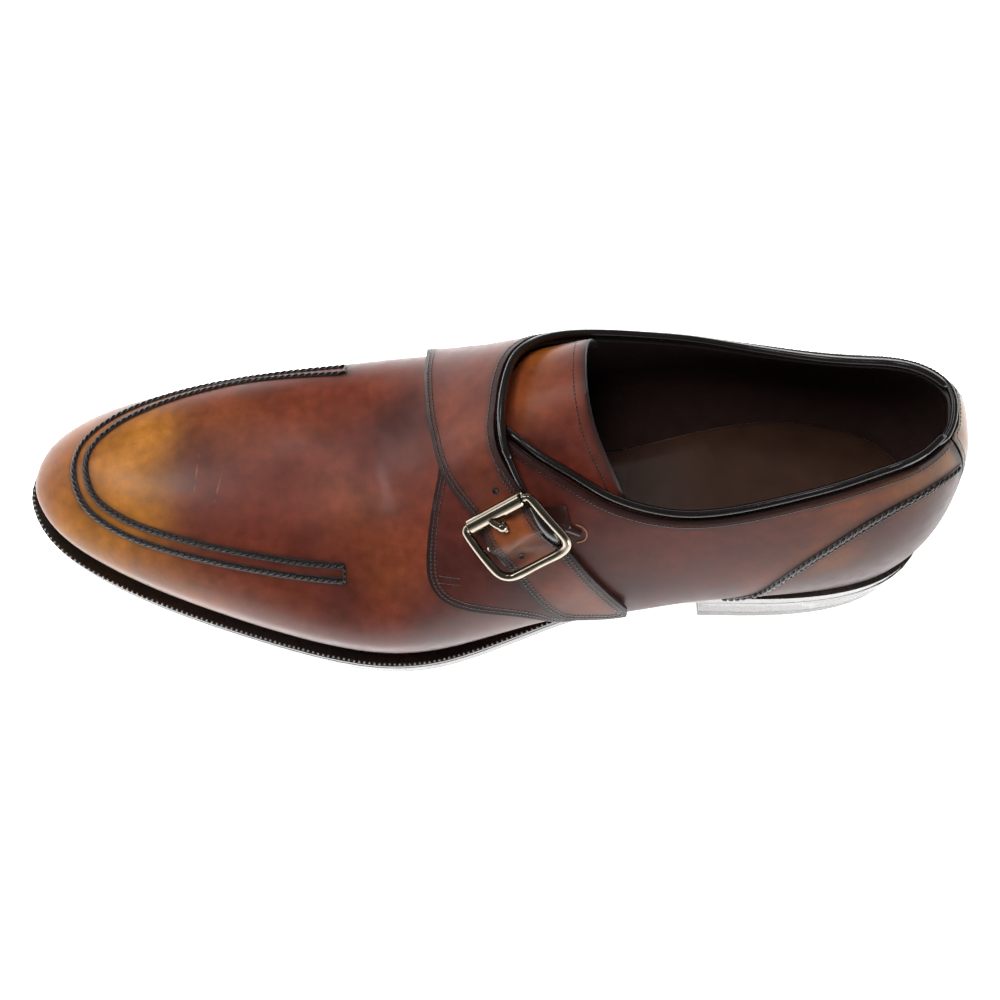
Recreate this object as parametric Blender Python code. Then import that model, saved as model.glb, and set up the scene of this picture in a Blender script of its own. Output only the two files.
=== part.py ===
"""Monk strap shoe, left foot, standing empty on its sole.

Metres, +Z up, the floor at Z = 0. The toe points to -X, the heel to +X, the outer (lateral) side to -Y
and the inner (medial) side to +Y. The origin is the centre of the heel's tread.

Every leather piece is taken from one surface, the last. A place on it is (share, turn): share runs along
the shoe from 0 at the heel's back to 1 at the toe's tip, and turn runs over the foot from -2 at the
lateral feather line, -1 at the lateral belly, 0 on the crown and 1 at the medial belly to 2 at the
medial feather line. A lift is a distance outwards from that surface.
"""
import math

import bmesh
import bpy
import numpy as np

# Driving sizes
SHOE_LENGTH = 0.306
BALL_WIDTH = 0.101
INSTEP_HEIGHT = 0.074
HEEL_HEIGHT = 0.021
HEEL_LENGTH = 0.078
TOE_SPRING = 0.0135
SOLE_THICKNESS = 0.005
WELT_THICKNESS = 0.0027
WELT_MARGIN = 0.005
TOP_PIECE_THICKNESS = 0.006
HEEL_TAPER = 0.0015
INSOLE_RISE = 0.0022
UPPER_WALL = 0.002
PANEL_LEATHER = 0.0015
TONGUE_LEATHER = 0.0015
BINDING_RADIUS = 0.0016
RIDGE_WIDTH = 0.0024
RIDGE_HEIGHT = 0.0012
RIDGE_SPACING = 0.0046
TAB_WIDTH = 0.016
BUCKLE_WIDTH = 0.0272
BUCKLE_DEPTH = 0.0225
BUCKLE_BAR = 0.0030
ROLLER_DIAMETER = 0.0050
PIN_BAR = 0.0020
PRONG_THICKNESS = 0.0016
CHAPE_WIDTH = 0.008
CHAPE_LEATHER = 0.001
GAP = 0.00035

HEEL_BACK = HEEL_LENGTH / 2 + 0.001

# Feather line in plan. Columns: share of the length, share of the ball width
LATERAL_LINE = [
    (0.035, 0.197), (0.10, 0.292), (0.19, 0.317), (0.29, 0.317), (0.39, 0.357), (0.48, 0.425),
    (0.57, 0.480), (0.66, 0.450), (0.76, 0.362), (0.86, 0.255), (0.93, 0.155), (0.968, 0.065),
]
MEDIAL_LINE = [
    (0.035, 0.182), (0.10, 0.277), (0.19, 0.297), (0.29, 0.237), (0.39, 0.197), (0.48, 0.250),
    (0.57, 0.371), (0.66, 0.425), (0.76, 0.400), (0.86, 0.345), (0.93, 0.275), (0.968, 0.185),
]
BACK_POINT = (0.010, 0.0)
TIP_POINT = (0.984, 0.065)

# Underside of the sole. Columns: share, part of the heel height, part of the toe spring
UNDERSIDE = [
    (0.00, 1.00, 0.00), (0.26, 1.00, 0.00), (0.34, 0.81, 0.00), (0.45, 0.38, 0.00), (0.55, 0.06, 0.00),
    (0.62, 0.00, 0.00), (0.74, 0.00, 0.00), (0.84, 0.00, 0.12), (0.92, 0.00, 0.44), (1.00, 0.00, 1.00),
]
# Welt: share, part of its thickness. Sole edge beyond the feather line: share, part of the margin
WELT_RISE = [(0.00, 0.00), (0.30, 0.00), (0.42, 1.00), (1.00, 1.00)]
EDGE_MARGIN = [(0.00, 0.76), (0.25, 0.66), (0.38, 0.48), (0.48, 0.78), (0.56, 0.94), (0.66, 1.00), (1.00, 1.00)]

# Sections of the last. Columns: share, then overhang beyond the feather line (lateral, medial; of the
# ball width), height of the belly above the feather line (lateral, medial; of the instep height), height
# of the crown above the feather line (of the instep height) and its place towards the medial side (of the
# ball width), fullness of the wall above the belly (lateral, medial) and of the top by the crown (both)
SECTIONS = [
    (0.00, 0.015, 0.054, 0.297, 0.378, 1.046, 0.030, 0.55, 0.75, 0.55, 0.78),
    (0.12, 0.012, 0.082, 0.176, 0.257, 1.023, 0.054, 0.35, 0.34, 0.33, 0.37),
    (0.24, 0.040, 0.123, 0.135, 0.277, 1.039, 0.089, 0.34, 0.44, 0.33, 0.48),
    (0.34, 0.056, 0.173, 0.128, 0.338, 1.090, 0.129, 0.32, 0.70, 0.33, 0.78),
    (0.43, 0.042, 0.175, 0.169, 0.351, 0.996, 0.132, 0.30, 0.79, 0.36, 0.84),
    (0.52, 0.033, 0.119, 0.223, 0.345, 0.828, 0.129, 0.36, 0.77, 0.43, 0.83),
    (0.62, 0.035, 0.044, 0.243, 0.250, 0.649, 0.129, 0.41, 0.76, 0.47, 0.82),
    (0.72, 0.035, 0.010, 0.236, 0.149, 0.635, 0.134, 0.45, 0.76, 0.50, 0.81),
    (0.84, 0.029, 0.026, 0.230, 0.108, 0.519, 0.124, 0.48, 0.66, 0.53, 0.73),
    (1.00, 0.008, 0.030, 0.108, 0.095, 0.182, 0.109, 0.32, 0.32, 0.33, 0.32),
]
TOE_PIVOT = 0.86
HEEL_PIVOT = 0.125
PIVOT_BLEND = 0.046

# Collar, as (share, turn) from the heel to the throat
COLLAR_LATERAL = [
    (0.028, -0.45), (0.060, -0.42), (0.104, -0.41), (0.168, -0.455), (0.218, -0.50), (0.264, -0.54),
    (0.301, -0.55), (0.331, -0.53), (0.364, -0.49), (0.390, -0.44), (0.420, -0.36), (0.451, -0.27),
    (0.480, -0.16), (0.500, -0.08),
]
COLLAR_MEDIAL = [
    (0.028, 0.47), (0.064, 0.42), (0.110, 0.415), (0.160, 0.45), (0.210, 0.50), (0.264, 0.59),
    (0.328, 0.665), (0.362, 0.675), (0.397, 0.64), (0.425, 0.57), (0.447, 0.47), (0.459, 0.37),
]
STRAP_REAR = [
    (0.459, 0.37), (0.472, 0.25), (0.481, 0.10), (0.485, -0.05), (0.483, -0.18), (0.473, -0.28),
    (0.459, -0.37), (0.438, -0.48), (0.412, -0.60), (0.382, -0.74), (0.351, -0.89),
]
STRAP_FRONT = [
    (0.561, 0.40), (0.561, 0.25), (0.559, 0.10), (0.555, -0.03), (0.545, -0.16), (0.531, -0.28),
    (0.514, -0.39), (0.496, -0.52), (0.476, -0.65), (0.455, -0.77), (0.430, -0.89),
]
STRAP_TIP = [(0.351, -0.89), (0.354, -0.96), (0.388, -0.95), (0.414, -0.92), (0.430, -0.89)]
# Underside of the strap by the way down the buckle, in part of its depth from the roller. Columns: level
# against the plane of the frame, in part of its bar, and how far the buckle holds the strap there
STRAP_HELD = [
    (-1.00, -1.60, 0.00), (-0.35, -1.58, 0.70), (0.00, -1.53, 1.00), (0.08, -1.45, 1.00), (0.34, -0.02, 1.00),
    (0.435, 0.16, 1.00), (0.54, -0.02, 1.00), (0.66, -0.95, 1.00), (0.76, -1.55, 1.00), (0.87, -1.65, 1.00),
    (1.25, -1.70, 0.50), (1.80, -1.70, 0.00),
]
STRAP_STEP = 0.30
TIP_RISE = 0.0008
QUARTER_TOP_FRONT = [(0.500, -0.13), (0.525, -0.11), (0.548, -0.11)]
QUARTER_FRONT = [(0.548, -0.11), (0.547, -0.18), (0.553, -0.28), (0.559, -0.41), (0.561, -0.50), (0.560, -0.56)]
QUARTER_FOOT = [
    (0.560, -0.56), (0.556, -0.61), (0.545, -0.67), (0.518, -0.75), (0.486, -0.82), (0.452, -0.91),
    (0.428, -1.02), (0.398, -1.40), (0.372, -1.98),
]
MEDIAL_FRONT = [(0.561, 0.40), (0.561, 0.50), (0.562, 0.60), (0.561, 0.70), (0.558, 0.79)]
MEDIAL_FOOT = [(0.558, 0.79), (0.552, 0.87), (0.541, 0.95), (0.505, 1.15), (0.468, 1.50), (0.435, 1.98)]
TONGUE_TOP = [
    (0.352, -0.60), (0.364, -0.49), (0.377, -0.40), (0.397, -0.27), (0.408, -0.12), (0.411, 0.04),
    (0.409, 0.22), (0.402, 0.42), (0.393, 0.58), (0.386, 0.68),
]
TONGUE_ROOT = 0.560
THROAT = 0.500
VAMP_SPREAD = 0.08
VAMP_EDGE = 0.42
APRON_LATERAL = [
    (0.638, -0.55), (0.70, -0.565), (0.77, -0.57), (0.84, -0.565), (0.885, -0.565), (0.925, -0.545),
    (0.96, -0.50), (1.0, -0.465),
]
APRON_MEDIAL = [
    (1.0, 0.465), (0.96, 0.435), (0.93, 0.42), (0.89, 0.43), (0.855, 0.45), (0.82, 0.485), (0.785, 0.515),
    (0.75, 0.54), (0.70, 0.53), (0.645, 0.51),
]
COUNTER_LATERAL = [
    (0.031, -0.68), (0.060, -0.59), (0.092, -0.57), (0.123, -0.60), (0.152, -0.66), (0.179, -0.74),
    (0.203, -0.84), (0.226, -1.05), (0.245, -1.40), (0.254, -1.72),
]
COUNTER_MEDIAL = [
    (0.031, 0.72), (0.067, 0.67), (0.100, 0.67), (0.131, 0.72), (0.162, 0.81), (0.180, 0.92),
    (0.195, 1.05), (0.212, 1.40), (0.220, 1.72),
]
BUCKLE_PLACE = (0.4675, -0.49)
BUCKLE_SIDE = (0.524, -0.40)
BUCKLE_SIDE_END = (0.455, -0.375)
BUCKLE_TURN = math.radians(6)
CHAPE_LINE = [(0.422, -0.480), (0.437, -0.472), (0.450, -0.465), (0.461, -0.465)]
ROLLER_LIFT = 0.0069
BUCKLE_BOW = 0.0010
BUCKLE_DROP = -0.0010
BUCKLE_CORNER = 0.0042
PIN_PLACE = 0.0098
PIN_LEVEL = -0.0015
PRONG_ROUTE = [(0.0062, 0.0021), (0.0047, 0.0023), (0.0031, 0.0019)]
PRONG_SIDE = 0.0005
BINDING_END = 0.42
TAB_EDGE = 0.028

# Counts of faces along the pieces
STATIONS = 42
REAR_STATIONS = 24
BACK_CLOSENESS = 1.2
FRONT_STATIONS = 20
WALL_ROWS = 9
FOOT_ROWS = 3
VAMP_ROWS = 6
STRAP_ROWS = 30


def monotone(rows, share, column=1):
    """Reads a table without overshoot, so that level stretches stay level."""
    table = np.array(rows, float)
    knots, values = table[:, 0], table[:, column]
    step = np.diff(knots)
    rise = np.diff(values) / step
    slope = np.concatenate([rise[:1], np.zeros(len(knots) - 2), rise[-1:]])
    for i in range(1, len(knots) - 1):
        if rise[i - 1] * rise[i] > 0:
            slope[i] = 2 * rise[i - 1] * rise[i] / (rise[i - 1] + rise[i])
    share = np.clip(share, knots[0], knots[-1])
    i = np.clip(np.searchsorted(knots, share, side="right") - 1, 0, len(step) - 1)
    t = (share - knots[i]) / step[i]
    start = (1 + 2 * t) * (1 - t) ** 2 * values[i] + t * (1 - t) ** 2 * step[i] * slope[i]
    return start + t * t * (3 - 2 * t) * values[i + 1] + t * t * (t - 1) * step[i] * slope[i + 1]


def spline(knots, values, x, closed=False):
    """Cubic curve through values at knots, with free ends or closed on itself."""
    knots = np.asarray(knots, float)
    values = np.asarray(values, float).reshape(len(values), -1)
    count = len(values)
    step = np.diff(knots)
    matrix = np.eye(count)
    right = np.zeros_like(values)
    for i in range(0 if closed else 1, count if closed else count - 1):
        before, after = step[i - 1], step[i]
        matrix[i, i] = 2 * (before + after)
        matrix[i, i - 1] = before
        matrix[i, (i + 1) % count] = after
        ahead = (values[(i + 1) % count] - values[i]) / after
        right[i] = 6 * (ahead - (values[i] - values[i - 1]) / before)
    bend = np.linalg.solve(matrix, right)
    if closed:
        values = np.vstack([values, values[:1]])
        bend = np.vstack([bend, bend[:1]])
    x = np.clip(np.asarray(x, float), knots[0], knots[-1])
    i = np.clip(np.searchsorted(knots, x, side="right") - 1, 0, len(step) - 1)
    left, gone, width = ((v)[..., None] for v in (knots[i + 1] - x, x - knots[i], step[i]))
    curve = (bend[i] * left ** 3 + bend[i + 1] * gone ** 3) / (6 * width)
    curve = curve + (values[i] / width - bend[i] * width / 6) * left
    return curve + (values[i + 1] / width - bend[i + 1] * width / 6) * gone


def section(column, share):
    table = np.array(SECTIONS)
    return spline(table[:, 0], table[:, column], share)[..., 0]


def along(x):
    return (HEEL_BACK - x) / SHOE_LENGTH


def underside(share):
    return HEEL_HEIGHT * monotone(UNDERSIDE, share, 1) + TOE_SPRING * monotone(UNDERSIDE, share, 2)


def feather_height(share):
    """Height of the upper's lower edge, just clear of the sole or of the welt."""
    return underside(share) + SOLE_THICKNESS + GAP + (WELT_THICKNESS + GAP) * monotone(WELT_RISE, share)


def trace_feather():
    """Both halves of the feather line from the back to the tip, each as (part of its run, x, y)."""
    ring = [BACK_POINT] + [(s, -y) for s, y in LATERAL_LINE] + [TIP_POINT] + MEDIAL_LINE[::-1]
    ring = np.array([(HEEL_BACK - s * SHOE_LENGTH, y * BALL_WIDTH) for s, y in ring])
    reach = np.linalg.norm(np.roll(ring, -1, 0) - ring, axis=1) ** 0.5
    knots = np.concatenate([[0], np.cumsum(reach)])
    points = spline(knots, ring, np.linspace(0, knots[-1], 6001), closed=True)
    tip = points[:, 0].argmin()
    halves = {}
    for side, half in ((-1, points[:tip + 1]), (1, points[tip:][::-1])):
        run = np.concatenate([[0], np.cumsum(np.linalg.norm(np.diff(half, axis=0), axis=1))])
        halves[side] = np.column_stack([run / run[-1], half])
    return halves


HALVES = trace_feather()


def foot_line(side, run):
    """Point and outward direction of the feather line in plan."""
    def at(place):
        own = (place >= 0) & (place <= 1)
        back = np.where(own, place, np.where(place < 0, -place, 2 - place))
        both = [[np.interp(back, half[:, 0], half[:, i]) for i in (1, 2)] for half in (HALVES[side], HALVES[-side])]
        return np.stack([np.where(own, mine, other) for mine, other in zip(*both)], -1)

    way = at(run + 0.002) - at(run - 0.002)
    out = np.stack([way[..., 1], -way[..., 0]], -1) * side
    return at(run), out / np.linalg.norm(out, axis=-1, keepdims=True)


def column(side, run):
    """What one upright line of the last is made from."""
    foot, out = foot_line(side, run)
    share = along(foot[..., 0])
    lateral = 1 / (1 + np.exp(5 * out[..., 1]))

    def mixed(first):
        return lateral * section(first, share) + (1 - lateral) * section(first + 1, share)

    over = mixed(1) * BALL_WIDTH
    belly = foot + out * over[..., None]
    toe_x = HEEL_BACK - TOE_PIVOT * SHOE_LENGTH
    heel_x = HEEL_BACK - HEEL_PIVOT * SHOE_LENGTH

    def above_zero(value):
        return 0.5 * (value + np.sqrt(value * value + (PIVOT_BLEND * SHOE_LENGTH) ** 2))

    crown_x = heel_x - above_zero(heel_x - toe_x - above_zero(belly[..., 0] - toe_x))
    crown_share = along(crown_x)
    low = feather_height(share)
    return {
        "foot": foot, "out": out, "over": over, "belly": belly, "low": low,
        "middle": low + mixed(3) * INSTEP_HEIGHT,
        "crown": np.stack([crown_x, section(6, crown_share) * BALL_WIDTH], -1),
        "high": feather_height(crown_share) + section(5, crown_share) * INSTEP_HEIGHT,
        "wall": mixed(7), "top": mixed(9),
    }


def pair_sides():
    """For each share, the runs along both halves whose upright lines meet on the crown."""
    share = np.linspace(0, 1, 801)
    crowns = {side: column(side, share)["crown"][:, 0] for side in (-1, 1)}
    middle = (crowns[-1] + crowns[1]) / 2
    runs = {side: np.interp(-middle, -crowns[side], share) for side in (-1, 1)}
    for run in runs.values():
        run[0], run[-1] = 0, 1
    return share, runs


SHARES, RUNS = pair_sides()


def last(share, turn):
    """Points of the last's surface."""
    share, turn = np.broadcast_arrays(np.asarray(share, float), np.asarray(turn, float))
    points = np.zeros(share.shape + (3,))
    for side in (-1, 1):
        here = turn < 0 if side < 0 else turn >= 0
        if not here.any():
            continue
        c = column(side, np.interp(share[here], SHARES, RUNS[side]))
        height = np.clip(1 - np.abs(turn[here]), 0, 1)
        depth = np.clip(np.abs(turn[here]) - 1, 0, 1)
        first, second = (1 - height) ** 3, 3 * height * (1 - height) ** 2
        third, fourth = 3 * height ** 2 * (1 - height), height ** 3
        plan = c["crown"] + (c["belly"] - c["crown"]) * (first + second + third * c["top"])[:, None]
        tuck = c["foot"] + c["out"] * (c["over"] * (1 - depth ** 2))[:, None]
        plan = np.where(depth[:, None] > 0, tuck, plan)
        z = c["middle"] + (c["high"] - c["middle"]) * (second * c["wall"] + third + fourth)
        z = np.where(depth > 0, c["middle"] + (c["low"] - c["middle"]) * depth, z)
        points[here] = np.column_stack([plan, z])
    return points


def slopes(share, turn):
    """How a point of the surface moves with share and with turn."""
    step = 0.004
    ahead, behind = np.clip(share + step, 0, 1), np.clip(share - step, 0, 1)
    more, less = np.clip(turn + step, -2, 2), np.clip(turn - step, -2, 2)
    inside = np.clip(share, step, 1 - step)
    by_share = (last(ahead, turn) - last(behind, turn)) / (ahead - behind)[..., None]
    by_turn = (last(inside, more) - last(inside, less)) / (more - less)[..., None]
    return by_share, by_turn


def outward(share, turn):
    """Outward direction of the surface, level at the feather line."""
    total = np.zeros(share.shape + (3,))
    for sign in (1, -1):
        by_share, by_turn = slopes(share, turn * sign)
        out = np.cross(by_turn, by_share)
        out /= np.maximum(np.linalg.norm(out, axis=-1, keepdims=True), 1e-12)
        # at the toe's tip and the heel's back both sides meet in one line
        shared = (share <= 0) | (share >= 1) | (sign > 0)
        total += out * shared[..., None]
    total[..., 2] *= 1 - np.clip(np.abs(turn) - 1, 0, 1) ** 2
    return total / np.linalg.norm(total, axis=-1, keepdims=True)


def frame_at(share, turn):
    share, turn = np.broadcast_arrays(np.asarray(share, float), np.asarray(turn, float))
    return (outward(share, turn), *slopes(share, turn))


def lifted(chart, lift):
    """Points at a lift above the places of a chart, an array of (share, turn)."""
    chart = np.asarray(chart, float)
    out = frame_at(chart[..., 0], chart[..., 1])[0]
    return last(chart[..., 0], chart[..., 1]) + out * np.asarray(lift, float)[..., None]


def smooth_line(rows, count):
    """Resamples a row of chart places into count + 1 even ones on a smooth curve."""
    rows = np.array(rows, float)
    if len(rows) == 2:
        return rows[0] + (rows[1] - rows[0]) * np.linspace(0, 1, count + 1)[:, None]
    stretch = np.array([SHOE_LENGTH, INSTEP_HEIGHT])
    knots = np.concatenate([[0], np.cumsum(np.linalg.norm(np.diff(rows * stretch, axis=0), axis=1))])
    fine = spline(knots, rows, np.linspace(0, knots[-1], 400))
    run = np.concatenate([[0], np.cumsum(np.linalg.norm(np.diff(fine * stretch, axis=0), axis=1))])
    even = np.linspace(0, run[-1], count + 1)
    return np.column_stack([np.interp(even, run, fine[:, i]) for i in (0, 1)])


def moved_aside(line, distance):
    """Shifts a chart line to its left, seen from outside, by a real distance."""
    out, by_share, by_turn = frame_at(line[:, 0], line[:, 1])
    change = np.gradient(line, axis=0)
    way = by_share * change[:, :1] + by_turn * change[:, 1:]
    aside = np.cross(out, way)
    aside *= distance / np.linalg.norm(aside, axis=1, keepdims=True)
    shifted = line.copy()
    for i, (a, b) in enumerate(zip(by_share, by_turn)):
        shifted[i] += np.linalg.lstsq(np.column_stack([a, b]), aside[i], rcond=None)[0]
    return shifted


def filled(top, foot, back, front):
    """Chart grid between four border lines; top and foot run from back to front."""
    u = np.linspace(0, 1, len(top))[:, None, None]
    v = np.linspace(0, 1, len(back))[None, :, None]
    across = (1 - v) * top[:, None] + v * foot[:, None]
    down = (1 - u) * back[None] + u * front[None]
    corners = (1 - u) * ((1 - v) * top[0] + v * foot[0]) + u * ((1 - v) * top[-1] + v * foot[-1])
    return across + down - corners


def material(name, colour, roughness, metallic=0.0):
    found = bpy.data.materials.get(name)
    if found:
        return found
    made = bpy.data.materials.new(name)
    made.use_nodes = True
    shader = made.node_tree.nodes["Principled BSDF"]
    shader.inputs["Base Color"].default_value = (*colour, 1)
    shader.inputs["Roughness"].default_value = roughness
    shader.inputs["Metallic"].default_value = metallic
    made.diffuse_color = (*colour, 1)
    return made


FINISHES = {
    "tan_leather": ((0.32, 0.13, 0.045), 0.25),
    "brown_leather": ((0.16, 0.052, 0.024), 0.28),
    "golden_leather": ((0.42, 0.20, 0.05), 0.28),
    "black_edge": ((0.012, 0.009, 0.008), 0.25),
    "sole_edge": ((0.045, 0.038, 0.036), 0.30),
    "rubber": ((0.015, 0.014, 0.014), 0.60),
    "sock_leather": ((0.07, 0.035, 0.02), 0.55),
    "nickel": ((0.62, 0.58, 0.52), 0.20, 1.0),
}


def add_object(name, mesh_tools, finish):
    """Closes a bmesh into a named object with its material."""
    bmesh.ops.remove_doubles(mesh_tools, verts=mesh_tools.verts, dist=0.00001)
    bmesh.ops.dissolve_degenerate(mesh_tools, edges=mesh_tools.edges, dist=0.00001)
    bmesh.ops.recalc_face_normals(mesh_tools, faces=mesh_tools.faces)
    bmesh.ops.triangulate(mesh_tools, faces=mesh_tools.faces)
    mesh = bpy.data.meshes.new(name)
    mesh_tools.to_mesh(mesh)
    mesh_tools.free()
    mesh.materials.append(material(finish, *FINISHES[finish]))
    mesh.shade_smooth()
    mesh.set_sharp_from_angle(angle=math.radians(40))
    thing = bpy.data.objects.new(name, mesh)
    bpy.context.scene.collection.objects.link(thing)
    return thing


def add_grid(tools, points, twins=None):
    """Adds a grid of four-sided faces; twins are kept for the other face of a sheet."""
    layer = tools.verts.layers.float_vector.get("twin") if twins is not None else None
    made = []
    for i in range(points.shape[0]):
        made.append([tools.verts.new(p) for p in points[i]])
        if layer is not None:
            for vertex, twin in zip(made[-1], twins[i]):
                vertex[layer] = twin
    for i in range(len(made) - 1):
        for j in range(len(made[0]) - 1):
            tools.faces.new((made[i][j], made[i + 1][j], made[i + 1][j + 1], made[i][j + 1]))


def sheet(name, grids, finish):
    """Leather of real thickness: grids of (outer points, inner points), closed round every border."""
    tools = bmesh.new()
    layer = tools.verts.layers.float_vector.new("twin")
    for outer, inner in grids:
        add_grid(tools, outer, inner)
    bmesh.ops.remove_doubles(tools, verts=tools.verts, dist=0.00006)
    border = [loop for edge in tools.edges if edge.is_boundary for loop in edge.link_loops]
    border = [(loop.vert, loop.link_loop_next.vert) for loop in border]
    twins = {vertex: tools.verts.new(vertex[layer]) for vertex in list(tools.verts)}
    for face in list(tools.faces):
        tools.faces.new([twins[v] for v in reversed(face.verts)])
    for start, end in border:
        tools.faces.new((end, start, twins[start], twins[end]))
    return add_object(name, tools, finish)


def sweep(name, path, out, profile, finish, closed=False):
    """Carries a profile of (aside, outwards) rows along a path with given outward directions."""
    path, out, profile = np.asarray(path), np.asarray(out), np.asarray(profile)
    way = np.roll(path, -1, 0) - np.roll(path, 1, 0) if closed else np.gradient(path, axis=0)
    way /= np.linalg.norm(way, axis=1, keepdims=True)
    aside = np.cross(out, way)
    aside /= np.linalg.norm(aside, axis=1, keepdims=True)
    up = np.cross(way, aside)
    rings = path[:, None] + aside[:, None] * profile[None, :, :1] + up[:, None] * profile[None, :, 1:]
    rings = np.concatenate([rings, rings[:, :1]], axis=1)
    if closed:
        rings = np.concatenate([rings, rings[:1]])
    tools = bmesh.new()
    add_grid(tools, rings)
    if not closed:
        for ring in (rings[0], rings[-1]):
            tools.faces.new([tools.verts.new(p) for p in ring[:-1]])
    return add_object(name, tools, finish)


def round_profile(radius, sides=8):
    turn = np.arange(sides) * 2 * math.pi / sides + math.pi / sides
    return np.column_stack([np.cos(turn), np.sin(turn)]) * radius


def ridge_profile():
    """A low rounded ridge that stands just off the leather."""
    rows = [(-0.5, 0.0), (0.5, 0.0), (0.27, 1.0), (-0.27, 1.0)]
    return [(aside * RIDGE_WIDTH, GAP + rise * (RIDGE_HEIGHT - GAP)) for aside, rise in rows]


def stations():
    """Shares of the last's upright lines, closer where the collar turns in to the throat."""
    turn_in = 0.455
    rear = turn_in * np.linspace(0, 1, REAR_STATIONS) ** BACK_CLOSENESS
    rear = np.concatenate([rear[:-1], np.linspace(turn_in, THROAT, 6)])
    return np.concatenate([rear, np.linspace(THROAT, 1, FRONT_STATIONS)[1:]]), len(rear) - 1


def collar_edge(side):
    """The binding's line along the collar, and the panels' edge just below it."""
    rows = COLLAR_LATERAL if side < 0 else COLLAR_MEDIAL + STRAP_REAR[1:3]
    line = smooth_line(rows, 60)
    return line, moved_aside(line, (BINDING_RADIUS + GAP) * -side)


def collar_turn(side, share):
    """Turn of the upper's edge at a share, carried level round the heel's back."""
    edge = collar_edge(side)[1]
    order = np.argsort(edge[:, 0])
    ends = np.interp(TAB_EDGE, edge[order, 0], edge[order, 1])
    back = side * 0.5 * (abs(np.interp(TAB_EDGE, *collar_edge(1)[1].T)) + abs(np.interp(TAB_EDGE, *collar_edge(-1)[1].T)))
    found = np.interp(share, edge[order, 0], edge[order, 1])
    mix = np.clip(share / TAB_EDGE, 0, 1) ** 2
    return np.where(share < TAB_EDGE, back + (ends - back) * mix, found)


def wall_turns(side, high, low):
    """Rows of turns from a lower border up to an edge, one of them kept on the belly."""
    high, low = np.abs(high)[:, None], np.abs(low)[:, None]
    knee = np.minimum(1, high + 0.90 * (low - high))
    foot = np.linspace(0, 1, FOOT_ROWS + 1)[None, :-1]
    wall = np.linspace(0, 1, WALL_ROWS - FOOT_ROWS + 1)[None]
    return side * np.concatenate([low + (knee - low) * foot, knee + (high - knee) * wall], axis=1)


def chart_grid(shares, turns):
    return np.stack(np.broadcast_arrays(shares[:, None], turns), -1)


def make_upper():
    """Vamp and backing as one hollow solid, open at the collar and underneath."""
    shares, rear = stations()
    grids = []
    edges = {}
    for side in (-1, 1):
        spread = np.clip((shares - QUARTER_FRONT[0][0]) / VAMP_SPREAD, 0, 1)
        edge = collar_turn(side, np.minimum(shares, THROAT))
        edges[side] = edge + (side * VAMP_EDGE - edge) * spread * spread * (3 - 2 * spread)
        grids.append(chart_grid(shares, wall_turns(side, edges[side], np.full(len(shares), 2.0)))[:, ::side])
    middle = np.linspace(0, 1, VAMP_ROWS + 1)[None]
    turn = edges[-1][rear:, None] * (1 - middle) + edges[1][rear:, None] * middle
    grids.append(chart_grid(shares[rear:], turn)[:, ::-1])
    return sheet("upper", [(lifted(g, 0.0), lifted(g, -UPPER_WALL)) for g in grids], "tan_leather")


def panel(chart, low, high):
    return lifted(chart, np.broadcast_to(high, chart.shape[:2])), lifted(chart, np.broadcast_to(low, chart.shape[:2]))


def quarter_grids(side, top, foot, joint, front):
    """Quarter behind and ahead of the strap's joint; top and foot run forwards from the heel tab."""
    shares = stations()[0]
    shares = shares[(shares > TAB_EDGE + 0.004) & (shares < joint[0, 0] - 0.004)]
    shares = np.concatenate([[TAB_EDGE], shares, joint[:1, 0]])
    high = np.interp(shares, top[:, 0], top[:, 1])
    high[-1] = joint[0, 1]
    low = np.interp(shares, foot[:, 0], foot[:, 1])
    low[shares < foot[0, 0]] = foot[0, 1]
    rear = chart_grid(shares, wall_turns(side, high, low))
    rest = foot[foot[:, 0] > joint[0, 0] + 0.002]
    lower = smooth_line(np.vstack([rear[-1, :1], rest]), len(joint) - 1)
    front = smooth_line(front, WALL_ROWS)[::-1]
    front[-1] = joint[-1]
    lower[-1] = front[0]
    return [rear[:, ::side], filled(lower, joint, rear[-1], front)[:, ::side]]


def make_lateral_quarter():
    edge = collar_edge(-1)[1]
    joint = smooth_line(QUARTER_TOP_FRONT, 5)
    foot = smooth_line(QUARTER_FOOT[::-1], 60)
    grids = quarter_grids(-1, edge, foot, joint, QUARTER_FRONT)
    return sheet("quarter_lateral", [panel(grid, GAP, GAP + PANEL_LEATHER) for grid in grids], "brown_leather")


def strap_lift(strap, run):
    """Underside of the strap above the last: over the vamp, the lateral quarter and the buckle's pin."""
    resting = GAP + (PANEL_LEATHER + GAP) * np.clip(run / STRAP_STEP, 0, 1) + TIP_RISE * run ** 6
    centre, _, down, out = buckle_axes()
    surface = lifted(strap, 0.0) - centre
    way = surface @ down / BUCKLE_DEPTH
    held = monotone(STRAP_HELD, way, 1) * BUCKLE_BAR - surface @ out
    return resting + monotone(STRAP_HELD, way, 2) * np.maximum(held - resting, 0)


def strap_lines(steps):
    rear = moved_aside(smooth_line(STRAP_REAR, 60), -(BINDING_RADIUS + GAP))
    rear = smooth_line(rear, steps)
    return rear, smooth_line(STRAP_FRONT, steps)


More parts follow.
